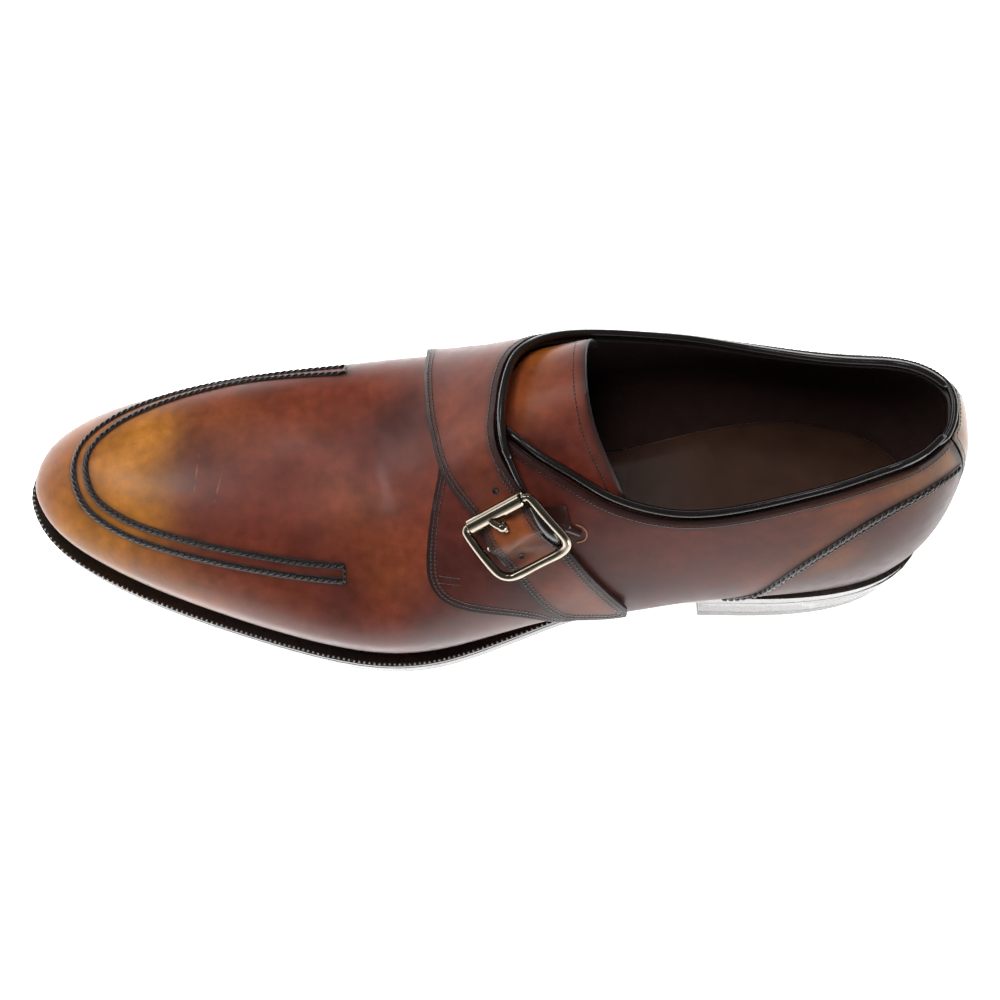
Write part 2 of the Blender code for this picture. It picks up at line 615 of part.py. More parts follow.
def make_medial_quarter_and_strap():
    """Medial quarter and strap, cut in one piece, with the hole for the prong."""
    across = 5
    rear, front = strap_lines(STRAP_ROWS)
    joint = smooth_line([rear[0], front[0]], across)
    edge = collar_edge(1)[1]
    foot = smooth_line(MEDIAL_FOOT[::-1], 60)
    quarter = quarter_grids(1, edge[edge[:, 0] < rear[0, 0] - 0.006], foot, joint, MEDIAL_FRONT)
    tip = smooth_line(STRAP_TIP, across)
    tip[0], tip[-1] = rear[-1], front[-1]
    strap = filled(rear, front, joint, tip)
    low = strap_lift(strap, np.linspace(0, 1, len(rear))[:, None])
    return sheet("quarter_medial_strap", [
        *(panel(grid, GAP, GAP + PANEL_LEATHER) for grid in quarter), panel(strap, low, low + PANEL_LEATHER),
    ], "brown_leather")


def make_tongue():
    tip = smooth_line(TONGUE_TOP, 10)
    root = smooth_line([(TONGUE_ROOT, tip[0, 1]), (TONGUE_ROOT, tip[-1, 1])], 10)
    grid = filled(root, tip, smooth_line([root[0], tip[0]], 7), smooth_line([root[-1], tip[-1]], 7))
    top = -(UPPER_WALL + 2 * GAP)
    return sheet("tongue", [panel(grid, top - TONGUE_LEATHER, top)], "tan_leather")


def make_bindings():
    """Rolled leather beads: one on the lateral collar, one on the medial collar and the strap's rear edge."""
    level = GAP / 2
    lateral = smooth_line(collar_edge(-1)[0], 36)[:-1]
    collar = smooth_line(COLLAR_MEDIAL, 30)
    strap = smooth_line(STRAP_REAR, STRAP_ROWS)
    last_row = round(STRAP_ROWS * BINDING_END)
    run = np.linspace(0, 1, STRAP_ROWS + 1)[1:last_row + 1]
    medial = np.concatenate([collar, strap[1:last_row + 1]])
    rise = np.concatenate([np.full(len(collar), level), strap_lift(medial[len(collar):], run) + PANEL_LEATHER / 2])
    for _ in range(4):
        rise[1:-1] = (rise[:-2] + 2 * rise[1:-1] + rise[2:]) / 4
    for name, line, lift in (
        ("binding_lateral", lateral, np.full(len(lateral), level)), ("binding_medial", medial, rise),
    ):
        sweep(name, lifted(line, lift), frame_at(*line.T)[0], round_profile(BINDING_RADIUS, 6), "black_edge")


def make_heel_tab():
    """Back strip over the rear seam, between the two quarters."""
    shares = stations()[0]
    shares = np.append(shares[shares < TAB_EDGE - 0.004], TAB_EDGE - 2 * GAP / SHOE_LENGTH)
    grids = []
    for side in (-1, 1):
        turns = wall_turns(side, collar_turn(side, shares), np.full(len(shares), 1.98))
        grids.append(panel(chart_grid(shares, turns)[:, ::side], GAP, GAP + PANEL_LEATHER))
    return sheet("heel_tab", grids, "golden_leather")


def make_ridges():
    """Hand-sewn raised seams: two round the apron, one along each side of the counter."""
    halves = [smooth_line(APRON_LATERAL, 26), smooth_line(APRON_MEDIAL, 26)]
    for name, shift in (("seam_apron_outer", 0.0), ("seam_apron_inner", -RIDGE_SPACING)):
        moved = [np.clip(moved_aside(half, shift), (0, -2), (1, 2)) for half in halves]
        path = np.concatenate([lifted(moved[0], 0.0)[:-1], lifted(moved[1], 0.0)])
        out = np.concatenate([frame_at(*moved[0].T)[0][:-1], frame_at(*moved[1].T)[0]])
        sweep(name, path, out, ridge_profile(), "black_edge")
    for name, rows in (("seam_counter_lateral", COUNTER_LATERAL), ("seam_counter_medial", COUNTER_MEDIAL)):
        line = smooth_line(rows, 22)
        path = lifted(line, GAP + PANEL_LEATHER)
        sweep(name, path, frame_at(*line.T)[0], ridge_profile(), "black_edge")


def plate(name, inset, low, high, finish, rear_x=None):
    """Flat piece inside the feather line: inset outwards of it, low and high as functions of share."""
    shares = np.linspace(0, 1, STATIONS + 1)
    edges = {}
    for side in (-1, 1):
        foot, out = foot_line(side, np.interp(shares, SHARES, RUNS[side]))
        edges[side] = foot + out * inset(along(foot[:, 0]))[:, None]
    edges[1][0] = edges[-1][0] = (edges[1][0] + edges[-1][0]) / 2
    edges[1][-1] = edges[-1][-1] = (edges[1][-1] + edges[-1][-1]) / 2
    across = np.linspace(0, 1, 3)[None, :, None]
    plan = edges[-1][:, None] * (1 - across) + edges[1][:, None] * across
    levels = [np.concatenate([plan, level(along(plan[..., :1]))], -1) for level in (high, low)]
    return sheet(name, [levels], finish)


def sole_margin(share):
    return WELT_MARGIN * monotone(EDGE_MARGIN, share)


def make_outsole():
    return plate("outsole", sole_margin, underside, lambda s: underside(s) + SOLE_THICKNESS, "sole_edge")


def make_insole():
    def inset(share):
        return -(UPPER_WALL + 2 * GAP) + 0 * share

    def high(share):
        return feather_height(share) + INSOLE_RISE

    return plate("insole", inset, welt_foot, high, "sock_leather")


def welt_foot(share):
    return underside(share) + SOLE_THICKNESS + GAP


def welt_top(share):
    return feather_height(share) - GAP


def make_welt():
    """Strip between the upper's lower edge and the outsole, from the waist round the toe and back."""
    shares = np.linspace(0.355, 1, 34)
    rings = []
    for side in (-1, 1):
        run = np.interp(shares, SHARES, RUNS[side])
        foot, out = foot_line(side, run)
        share = along(foot[:, 0])
        inner = foot - out * (UPPER_WALL + GAP)
        outer = foot + out * sole_margin(share)[:, None]
        corners = [(inner, welt_foot), (outer, welt_foot), (outer, welt_top), (inner, welt_top)]
        rings.append(np.stack([np.column_stack([xy, level(along(xy[:, 0]))]) for xy, level in corners], 1))
    tip = (rings[0][-1] + rings[1][-1]) / 2
    rings = np.concatenate([rings[0][:-1], tip[None], rings[1][-2::-1]])
    rings = np.concatenate([rings, rings[:, :1]], 1)
    tools = bmesh.new()
    add_grid(tools, rings)
    for ring in (rings[0], rings[-1]):
        tools.faces.new([tools.verts.new(p) for p in ring[:-1]])
    return add_object("welt", tools, "sole_edge")


def heel_outline(count=40):
    """The sole's edge round the heel, closed by the breast with its cut medial corner."""
    breast = -HEEL_LENGTH / 2
    points = []
    for side in (-1, 1):
        run = np.linspace(0, 0.42, 160)
        foot, out = foot_line(side, run)
        edge = foot + out * sole_margin(along(foot[:, 0]))[:, None]
        stop = breast if side < 0 else breast + 0.0055
        edge = edge[edge[:, 0] > stop]
        reach = np.concatenate([[0], np.cumsum(np.linalg.norm(np.diff(edge, axis=0), axis=1))])
        even = np.linspace(0, reach[-1], count // 2)
        points.append(np.column_stack([np.interp(even, reach, edge[:, i]) for i in (0, 1)]))
    corner = [(breast - 0.0025, points[1][-1][1] - 0.007)]
    middle = [(breast, 0.0)]
    return np.concatenate([points[0], middle, corner, points[1][:0:-1]])


def make_heel():
    """Leather stack and rubber top piece, narrowing a little towards the floor."""
    outline = heel_outline()
    centre = outline.mean(axis=0)
    shrink = HEEL_TAPER / (HEEL_LENGTH / 2)
    for name, low, high, finish in (
        ("heel_top_piece", 0.0, TOP_PIECE_THICKNESS, "rubber"),
        ("heel_stack", TOP_PIECE_THICKNESS + GAP, HEEL_HEIGHT - GAP, "sole_edge"),
    ):
        tools = bmesh.new()
        rings = []
        for z in (low, high):
            scale = 1 - shrink * (1 - z / HEEL_HEIGHT)
            plan = centre + (outline - centre) * scale
            rings.append([tools.verts.new((x, y, z)) for x, y in plan])
        count = len(outline)
        for i in range(count):
            tools.faces.new((rings[0][i], rings[0][(i + 1) % count], rings[1][(i + 1) % count], rings[1][i]))
        tools.faces.new(rings[0][::-1])
        tools.faces.new(rings[1])
        add_object(name, tools, finish)


def buckle_axes():
    """Middle of the roller, the roller's direction, the way down the strap, and outwards."""
    ends = lifted([BUCKLE_SIDE, BUCKLE_SIDE_END], ROLLER_LIFT)
    across = (ends[1] - ends[0]) / np.linalg.norm(ends[1] - ends[0])
    out = frame_at(*np.array(BUCKLE_PLACE))[0]
    out = out - across * (out @ across)
    out /= np.linalg.norm(out)
    down = np.cross(across, out)
    cos, sin = math.cos(BUCKLE_TURN), math.sin(BUCKLE_TURN)
    return (ends[0] + ends[1]) / 2, across * cos - down * sin, down * cos + across * sin, out


def make_buckle():
    centre, across, down, out = buckle_axes()

    def place(u, v, n=0.0):
        return centre + across * u + down * v + out * n

    def bow(v):
        part = v / (BUCKLE_DEPTH - BUCKLE_BAR)
        return BUCKLE_BOW * 4 * part * (1 - part) - BUCKLE_DROP * part

    half = (BUCKLE_WIDTH - BUCKLE_BAR) / 2
    deep = BUCKLE_DEPTH - BUCKLE_BAR
    corner = BUCKLE_CORNER
    outline = []
    for u, v, turns in ((-half, 0, (180, 270)), (half, 0, (270, 360)), (half, deep, (0, 90)), (-half, deep, (90, 180))):
        radius = BUCKLE_BAR * 0.5 if v == 0 else corner
        middle = (u - math.copysign(radius, u), radius if v == 0 else v - radius)
        for angle in np.radians(np.linspace(*turns, 4)):
            outline.append((middle[0] + radius * math.cos(angle), middle[1] + radius * math.sin(angle)))
    path = []
    for start, end in zip(outline, outline[1:] + outline[:1]):
        steps = max(1, round(math.dist(start, end) / 0.004))
        path += [tuple(np.array(start) + (np.array(end) - start) * i / steps) for i in range(steps)]
    points = np.array([place(u, v, bow(v)) for u, v in path])
    normals = np.tile(out, (len(points), 1))
    sweep("buckle_frame", points, normals, round_profile(BUCKLE_BAR / 2, 8), "nickel", closed=True)

    # the roller is a tube that turns on the frame's upper bar
    reach = half - BUCKLE_BAR / 2 - GAP * 2
    ring = [(-reach, ROLLER_DIAMETER / 2), (reach, ROLLER_DIAMETER / 2), (reach, BUCKLE_BAR / 2 + GAP),
            (-reach, BUCKLE_BAR / 2 + GAP)]
    turns = np.linspace(0, 2 * math.pi, 17)
    rings = np.array([[place(u, r * math.sin(a), r * math.cos(a)) for u, r in ring + ring[:1]] for a in turns])
    tools = bmesh.new()
    add_grid(tools, rings)
    add_object("buckle_roller", tools, "nickel")

    reach = half - BUCKLE_BAR / 2 - GAP
    bar = np.array([place(u, PIN_PLACE, PIN_LEVEL) for u in np.linspace(-reach, reach, 3)])
    sweep("buckle_pin_bar", bar, np.tile(out, (3, 1)), round_profile(PIN_BAR / 2), "nickel")

    # the prong's end comes out of the strap and rests against the roller
    prong = np.array([place(PRONG_SIDE, v, n) for v, n in PRONG_ROUTE])
    sweep("buckle_prong", prong, np.tile(out, (3, 1)), round_profile(PRONG_THICKNESS / 2), "nickel")


def make_chape():
    """Short strap that holds the buckle, from its slot in the lateral quarter to the pin bar."""
    low = 2 * GAP + PANEL_LEATHER
    line = smooth_line(CHAPE_LINE, 7)
    edges = [moved_aside(line, d) for d in np.linspace(-CHAPE_WIDTH / 2, CHAPE_WIDTH / 2, 4)]
    grid = np.stack(edges, 1)
    return sheet("buckle_chape", [panel(grid, low, low + CHAPE_LEATHER)], "black_edge")


for old in list(bpy.data.objects):
    bpy.data.objects.remove(old, do_unlink=True)

make_outsole()
make_welt()
make_heel()
make_insole()
make_upper()
make_tongue()
make_lateral_quarter()
make_medial_quarter_and_strap()
make_heel_tab()
make_bindings()
make_ridges()
make_buckle()
make_chape()
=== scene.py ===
"""Monk strap shoe: leather skins, stitches, buckle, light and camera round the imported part."""
import math

import bmesh
import bpy
import numpy as np
from mathutils import Matrix, Vector
from mathutils.bvhtree import BVHTree
from mathutils.kdtree import KDTree


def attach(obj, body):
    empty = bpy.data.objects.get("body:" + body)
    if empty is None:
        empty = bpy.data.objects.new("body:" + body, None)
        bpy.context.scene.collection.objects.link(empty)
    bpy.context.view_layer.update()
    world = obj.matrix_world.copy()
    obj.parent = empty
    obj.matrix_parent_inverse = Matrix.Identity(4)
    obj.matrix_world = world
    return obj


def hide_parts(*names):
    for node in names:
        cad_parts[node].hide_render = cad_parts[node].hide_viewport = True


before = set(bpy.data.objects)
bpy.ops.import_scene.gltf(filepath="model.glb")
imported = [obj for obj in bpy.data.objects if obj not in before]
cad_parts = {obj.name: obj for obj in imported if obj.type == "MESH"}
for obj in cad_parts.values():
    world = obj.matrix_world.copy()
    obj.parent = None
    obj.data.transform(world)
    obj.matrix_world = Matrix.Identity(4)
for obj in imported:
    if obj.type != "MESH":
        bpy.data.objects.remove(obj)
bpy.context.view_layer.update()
MM = 0.001

# The middle line of the foot's room, and where it ends under the toe and over the heel
HEART = Vector((0, -0.003, 0.030))
HEART_TOE = -0.235
HEART_HEEL = 0.015

# The three sides of a piece of cut leather, in the order of its materials
GRAIN, WALL, FLESH = 0, 1, 2
# A region smaller than this share of the largest one is a cut wall
WALL_SHARE = 0.30
# A rim has more corners than this, and a row of stitches more places
SHORTEST_RIM = 8
SHORTEST_ROW = 3


# Small helpers: picking, applying and joining pieces

def deselect():
    """Leaves edit mode and picks nothing."""
    if bpy.context.object and bpy.context.object.mode != "OBJECT":
        bpy.ops.object.mode_set(mode="OBJECT")
    bpy.ops.object.select_all(action="DESELECT")


def pick(piece):
    """Makes a piece the only one picked."""
    deselect()
    piece.select_set(True)
    bpy.context.view_layer.objects.active = piece


def apply_all(piece):
    """Makes a piece's modifiers part of its mesh."""
    pick(piece)
    for modifier in list(piece.modifiers):
        bpy.ops.object.modifier_apply(modifier=modifier.name)


def finish_piece(piece, name, material, soft_angle):
    """Sets a piece in place, smooths and names it, and hands it to the frame with its finish."""
    pick(piece)
    bpy.ops.object.transform_apply(location=True, rotation=True, scale=True)
    bpy.ops.object.shade_smooth_by_angle(angle=math.radians(soft_angle))
    piece.name = piece.data.name = name
    if material:
        piece.data.materials.clear()
        piece.data.materials.append(material)
    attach(piece, "root")
    return piece


# Panels: regions of a cut piece of leather, and the rims between them

def away_from_heart(point):
    """From the middle of the foot's room out to a point of the shoe."""
    heart = Vector((min(max(point.x, HEART_TOE), HEART_HEEL), HEART.y, HEART.z))
    return point - heart


def regions_of(mesh_tools, sharp):
    """Numbers each face by the smooth region it lies in, with cut edges as the fences."""
    labels = [-1] * len(mesh_tools.faces)
    region = 0
    for first in mesh_tools.faces:
        if labels[first.index] >= 0:
            continue
        waiting = [first]
        labels[first.index] = region
        while waiting:
            face = waiting.pop()
            for edge in face.edges:
                if len(edge.link_faces) != 2 or edge.calc_face_angle() > sharp:
                    continue
                for other in edge.link_faces:
                    if labels[other.index] < 0:
                        labels[other.index] = region
                        waiting.append(other)
        region += 1
    return labels, region


def sides_of(mesh_tools, labels, count):
    """Says which regions are the grain side, the cut wall and the flesh side."""
    area = [0.0] * count
    facing = [0.0] * count
    for face in mesh_tools.faces:
        size = face.calc_area()
        area[labels[face.index]] += size
        out = away_from_heart(face.calc_center_median()).normalized()
        facing[labels[face.index]] += size * face.normal.dot(out)
    kinds = []
    largest = max(area)
    for size, sum_facing in zip(area, facing):
        if size < WALL_SHARE * largest:
            kinds.append(WALL)
        elif sum_facing > 0:
            kinds.append(GRAIN)
        else:
            kinds.append(FLESH)
    return kinds


def rim_loops(mesh_tools, labels, kinds):
    """Ordered points round the grain side, and the normal of the face at each."""
    follow = {}
    for face in mesh_tools.faces:
        if kinds[labels[face.index]] != GRAIN:
            continue
        for loop in face.loops:
            others = [other for other in loop.edge.link_faces if other != face]
            if others and kinds[labels[others[0].index]] != GRAIN:
                follow[loop.vert.index] = (loop.link_loop_next.vert.index, face)
    mesh_tools.verts.ensure_lookup_table()
    loops = []
    left = dict(follow)
    while left:
        start = next(iter(left))
        chain = []
        at = start
        while at in left:
            after, face = left.pop(at)
            chain.append((at, face))
            at = after
        if len(chain) > SHORTEST_RIM and at == start:
            loops.append(chain)
    lines = []
    for chain in loops:
        points = [mesh_tools.verts[corner].co.copy() for corner, _ in chain]
        normals = [face.normal.copy() for _, face in chain]
        lines.append((points, normals))
    return lines


def skin_from(node, levels, crease=0.9, sharp=50, wall_sides=True, rounded=0.0):
    """A smooth skin grown from a CAD node's form, with its cut edges kept crisp."""
    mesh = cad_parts[node].data.copy()
    mesh.materials.clear()
    skin = bpy.data.objects.new(node + "_skin", mesh)
    bpy.context.scene.collection.objects.link(skin)
    pick(skin)
    bpy.ops.object.mode_set(mode="EDIT")
    bpy.ops.mesh.select_all(action="SELECT")
    bpy.ops.mesh.remove_doubles(threshold=0.02 * MM)
    bpy.ops.mesh.tris_convert_to_quads(face_threshold=math.radians(50), shape_threshold=math.radians(60))
    bpy.ops.mesh.select_all(action="DESELECT")
    bpy.ops.object.mode_set(mode="OBJECT")
    if rounded:
        round_top_edge(skin, rounded)
    tools = bmesh.new()
    tools.from_mesh(mesh)
    tools.normal_update()
    tools.faces.ensure_lookup_table()
    layer = tools.edges.layers.float.get("crease_edge") or tools.edges.layers.float.new("crease_edge")
    for edge in tools.edges:
        if len(edge.link_faces) == 2 and edge.calc_face_angle() > math.radians(sharp):
            edge[layer] = crease
    labels, count = regions_of(tools, math.radians(sharp))
    kinds = sides_of(tools, labels, count)
    lines = rim_loops(tools, labels, kinds)
    if wall_sides:
        for face in tools.faces:
            face.material_index = kinds[labels[face.index]]
    tools.to_mesh(mesh)
    tools.free()
    if levels:
        modifier = skin.modifiers.new("smooth form", "SUBSURF")
        modifier.levels = modifier.render_levels = levels
        apply_all(skin)
    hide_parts(node)
    return skin, lines


def round_top_edge(skin, width, flat_top=0.7, steep_side=0.5, outward=0.2):
    """Bevels the outer top edge of a sole layer, and gives the bevel its second material."""
    tools = bmesh.new()
    tools.from_mesh(skin.data)
    tools.normal_update()
    for edge in tools.edges:
        edge.select = False
        if len(edge.link_faces) != 2:
            continue
        top, side = sorted(edge.link_faces, key=lambda face: -face.normal.z)
        middle = (edge.verts[0].co + edge.verts[1].co) * 0.5
        outwards = side.normal.dot(away_from_heart(middle).normalized()) > outward
        edge.select = top.normal.z > flat_top and abs(side.normal.z) < steep_side and outwards
    tools.select_flush_mode()
    tools.to_mesh(skin.data)
    tools.free()
    pick(skin)
    bpy.ops.object.mode_set(mode="EDIT")
    bpy.ops.mesh.bevel(offset=width, offset_type="OFFSET", segments=3, material=1, clamp_overlap=True)
    bpy.ops.mesh.select_all(action="DESELECT")
    bpy.ops.object.mode_set(mode="OBJECT")


# Lines over the leather: rows parallel to a rim, and lines laid through given points

def along(points, pitch):
    """Evenly spaced places on an open line of points."""
    line = np.array([tuple(point) for point in points])
    steps = np.linalg.norm(np.diff(line, axis=0), axis=1)
    run = np.concatenate([[0], np.cumsum(steps)])
    count = max(2, int(run[-1] / pitch) + 1)
    marks = np.linspace(0, run[-1], count)
    places = np.stack([np.interp(marks, run, line[:, axis]) for axis in range(3)], axis=1)
    return [Vector(place) for place in places]


def curve_through(points, fine=0.6, between=12):
    """A smooth line through given points in millimetres, with places a fine step apart."""
    line = np.array(points, float) * MM
    ends = np.vstack([2 * line[0] - line[1], line, 2 * line[-1] - line[-2]])
    smooth = []
    for i in range(1, len(ends) - 2):
        a, b, c, d = ends[i - 1], ends[i], ends[i + 1], ends[i + 2]
        for t in np.linspace(0, 1, between, endpoint=False):
            smooth.append(0.5 * (2 * b + (c - a) * t + (2 * a - 5 * b + 4 * c - d) * t * t
                                 + (3 * b - a - 3 * c + d) * t ** 3))
    smooth.append(ends[-2])
    return along([Vector(place) for place in smooth], fine * MM)


def laid_on(points, surface):
    """Presses a line onto a surface and gives each place its normal."""
    laid = []
    for point in points:
        place, normal, _, _ = surface.find_nearest(point)
        if normal.dot(away_from_heart(place)) < 0:
            normal = -normal
        laid.append((place, normal))
    return laid


def rim_row(line, inset, keep, parts=8, nearest=0.93, passes=6):
    """Runs of places on a row that follows a rim at a distance, where keep says so."""
    points, normals = line
    count = len(points)
    tree = KDTree(count * parts)
    dense = []
    for i in range(count):
        here, there = points[i], points[(i + 1) % count]
        for part in range(parts):
            dense.append((here.lerp(there, part / parts), normals[i], (there - here).normalized()))
    for i, (place, _, _) in enumerate(dense):
        tree.insert(place, i)
    tree.balance()
    runs = []
    run = []
    for place, normal, way in dense:
        inward = normal.cross(way).normalized()
        moved = place + inward * inset
        _, _, gap = tree.find(moved)
        kept = keep(place)
        if kept and gap > nearest * inset:
            run.append(moved)
        elif not kept and len(run) > SHORTEST_ROW:
            runs.append(run)
            run = []
    if len(run) > SHORTEST_ROW:
        if runs and keep(dense[0][0]) and (runs[0][0] - run[-1]).length < 3 * inset + 4 * MM:
            runs[0] = run + runs[0]
        else:
            runs.append(run)
    rows = []
    for run in runs:
        smooth = np.array([tuple(place) for place in run])
        for _ in range(passes):
            smooth[1:-1] = 0.25 * smooth[:-2] + 0.5 * smooth[1:-1] + 0.25 * smooth[2:]
        rows.append([Vector(place) for place in smooth])
    return rows


# Stitches: one thread loop modelled once, then set along a row

def thread_loop(name, length, width, height, sides=6, rings=5):
    """One rounded bead of thread, its size in millimetres."""
    deselect()
    bpy.ops.mesh.primitive_uv_sphere_add(segments=sides, ring_count=rings, radius=0.5,
                                         rotation=(0, math.pi / 2, 0))
    loop = bpy.context.object
    loop.name = name
    bpy.ops.object.transform_apply(location=True, rotation=True, scale=True)
    bpy.ops.transform.resize(value=(length * MM, width * MM, height * MM))
    bpy.ops.object.transform_apply(location=True, rotation=True, scale=True)
    return loop


def sew(loop, rows, surface, pitch, name, material=None, slant=0, sunk=0.0):
    """Sets copies of a thread loop along rows, a pitch apart in millimetres, as one piece."""
    slant = math.radians(slant)
    copies = []
    for row in rows:
        places = laid_on(along(row, pitch * MM), surface)
        for i in range(len(places) - 1):
            (here, out_here), (there, out_there) = places[i], places[i + 1]
            way = there - here
            if way.length < 0.2 * pitch * MM:
                continue
            out = (out_here + out_there).normalized()
            way = (way - out * way.dot(out)).normalized()
            across = out.cross(way)
            turned = way * math.cos(slant) + across * math.sin(slant)
            across = out.cross(turned)
            middle = (here + there) * 0.5 - out * (sunk * MM)
            copy = bpy.data.objects.new(name, loop.data.copy())
            bpy.context.scene.collection.objects.link(copy)
            turn = Matrix((turned, across, out)).transposed().to_4x4()
            copy.matrix_world = Matrix.Translation(middle) @ turn
            copies.append(copy)
    deselect()
    for copy in copies:
        copy.select_set(True)
    bpy.context.view_layer.objects.active = copies[0]
    bpy.ops.object.join()
    return finish_piece(bpy.context.object, name, material or thread, 60)


# Paint: dabs of colour, mostly dyes with a few of painted sheen, and the darkened leather near seams and cut
# edges

def srgb(red, green, blue):
    """A colour for the dyes, the painted sheen and the other finishes, named by its everyday screen colour,
    as the shader wants it.
    """
    return tuple(((c / 255 + 0.055) / 1.055) ** 2.4 for c in (red, green, blue))


OCHRE = srgb(114, 70, 16)
AMBER = srgb(100, 54, 17)
TAN = srgb(88, 43, 18)
CHESTNUT = srgb(77, 33, 17)
RUSSET = srgb(68, 27, 17)
OXBLOOD = srgb(54, 21, 16)
PLUM = srgb(36, 15, 14)
BURNISHED = srgb(17, 9, 8)
SCUFFED = srgb(124, 82, 66)
# The sole and heel edges are black wax; this dark grey lifts them partly as painted sheen.
SOLE_EDGE_AND_SHEEN = srgb(62, 55, 51)
LAYER_LINE = srgb(30, 25, 23)

# Two faint scuffs over the toe, seen from above, from end to end in millimetres
SCUFFS = (((-203.3, 6.9, 0), (-204.4, -4.7, 0)), ((-194.7, 3.2, 0), (-197.7, -8.7, 0)))
SCUFF_WIDTH = 0.3


def paint(skin, base, dabs, dark_lines, dark_reach):
    """Writes each point's colour, from dabs of x, y, z, reach (mm), colour and strength,
    mostly dyes with a few of painted sheen, and how close it lies to a seam or edge."""
    mesh = skin.data
    count = len(mesh.vertices)
    flat = np.empty(count * 3)
    mesh.vertices.foreach_get("co", flat)
    places = flat.reshape(-1, 3) / MM
    dye_and_sheen = np.tile(np.array(base), (count, 1))
    for x, y, z, reach, colour, strength in dabs:
        apart = np.linalg.norm(places - (x, y, z), axis=1)
        share = (strength * np.exp(-(apart / reach) ** 2))[:, None]
        dye_and_sheen = dye_and_sheen * (1 - share) + np.array(colour) * share
    attribute = mesh.color_attributes.new("dye_and_sheen", "FLOAT_COLOR", "POINT")
    attribute.data.foreach_set("color", np.hstack([dye_and_sheen, np.ones((count, 1))]).ravel())
    close = np.zeros(count)
    tree = KDTree(sum(len(line) for line in dark_lines))
    for line in dark_lines:
        for point in line:
            tree.insert(point, 0)
    tree.balance()
    for i in range(count):
        _, _, gap = tree.find(places[i] * MM)
        close[i] = math.exp(-(gap / MM / dark_reach) ** 3)
    burnish = mesh.attributes.new("burnish", "FLOAT", "POINT")
    burnish.data.foreach_set("value", close)


def dent(skin, marks):
    """Presses soft troughs and raises soft ridges, each given by two ends, a reach and a height."""
    mesh = skin.data
    count = len(mesh.vertices)
    flat = np.empty(count * 3)
    mesh.vertices.foreach_get("co", flat)
    places = flat.reshape(-1, 3) / MM
    normals = np.empty(count * 3)
    mesh.vertices.foreach_get("normal", normals)
    normals = normals.reshape(-1, 3)
    shift = np.zeros(count)
    for start, end, reach, height in marks:
        start, end = np.array(start, float), np.array(end, float)
        way = end - start
        share = np.clip(((places - start) @ way) / (way @ way + 1e-9), 0, 1)
        apart = np.linalg.norm(places - start - share[:, None] * way, axis=1)
        shift += height * np.exp(-(apart / reach) ** 2)
    heart = np.tile(np.array(HEART) / MM, (count, 1))
    heart[:, 0] = np.clip(places[:, 0], HEART_TOE / MM, HEART_HEEL / MM)
    side = np.sign((normals * (places - heart)).sum(axis=1))
    places = places + normals * (shift * side)[:, None]
    mesh.vertices.foreach_set("co", (places * MM).ravel())
    mesh.update()


# Finishes

def wire(tree, kind, **settings):
    """A new shader node with its settings."""
    node = tree.nodes.new(kind)
    for setting, value in settings.items():
        setattr(node, setting, value)
    return node


def start_material(name):
    """A new finish with its shader."""
    made = bpy.data.materials.new(name)
    made.use_nodes = True
    tree = made.node_tree
    return made, tree, tree.nodes["Principled BSDF"]


def noise(tree, coords, scale, detail=3.0, roughness=0.55):
    """Clouds, from zero to one, of so many to the metre."""
    node = tree.nodes.new("ShaderNodeTexNoise")
    node.inputs["Scale"].default_value = scale
    node.inputs["Detail"].default_value = detail
    node.inputs["Roughness"].default_value = roughness
    tree.links.new(coords, node.inputs["Vector"])
    return node.outputs["Fac"]


def span(tree, value, low, high, to_low, to_high):
    """Stretches a value from one range to another and holds it there."""
    node = tree.nodes.new("ShaderNodeMapRange")
    node.inputs["From Min"].default_value = low
    node.inputs["From Max"].default_value = high
    node.inputs["To Min"].default_value = to_low
    node.inputs["To Max"].default_value = to_high
    tree.links.new(value, node.inputs["Value"])
    return node.outputs["Result"]


def blend(tree, mode, factor, first, second):
    """Mixes two colours, each a colour, a number or another node's output."""
    node = tree.nodes.new("ShaderNodeMix")
    node.data_type = "RGBA"
    node.blend_type = mode
    for socket, value in ((node.inputs[0], factor), (node.inputs[6], first), (node.inputs[7], second)):
        if isinstance(value, (int, float)):
            socket.default_value = value
        elif isinstance(value, tuple):
            socket.default_value = (*value, 1)
        else:
            tree.links.new(value, socket)
    return node.outputs[2]


def reckon(tree, kind, first, second):
    """One sum on two values, each a number or another node's output."""
    node = tree.nodes.new("ShaderNodeMath")
    node.operation = kind
    for socket, value in ((node.inputs[0], first), (node.inputs[1], second)):
        if isinstance(value, (int, float)):
            socket.default_value = value
        else:
            tree.links.new(value, socket)
    return node.outputs[0]


def bumpy(tree, shader, height, strength, distance):
    """Lets a height show as fine relief."""
    node = tree.nodes.new("ShaderNodeBump")
    node.inputs["Strength"].default_value = strength
    node.inputs["Distance"].default_value = distance
    tree.links.new(height, node.inputs["Height"])
    tree.links.new(node.outputs["Normal"], shader.inputs["Normal"])


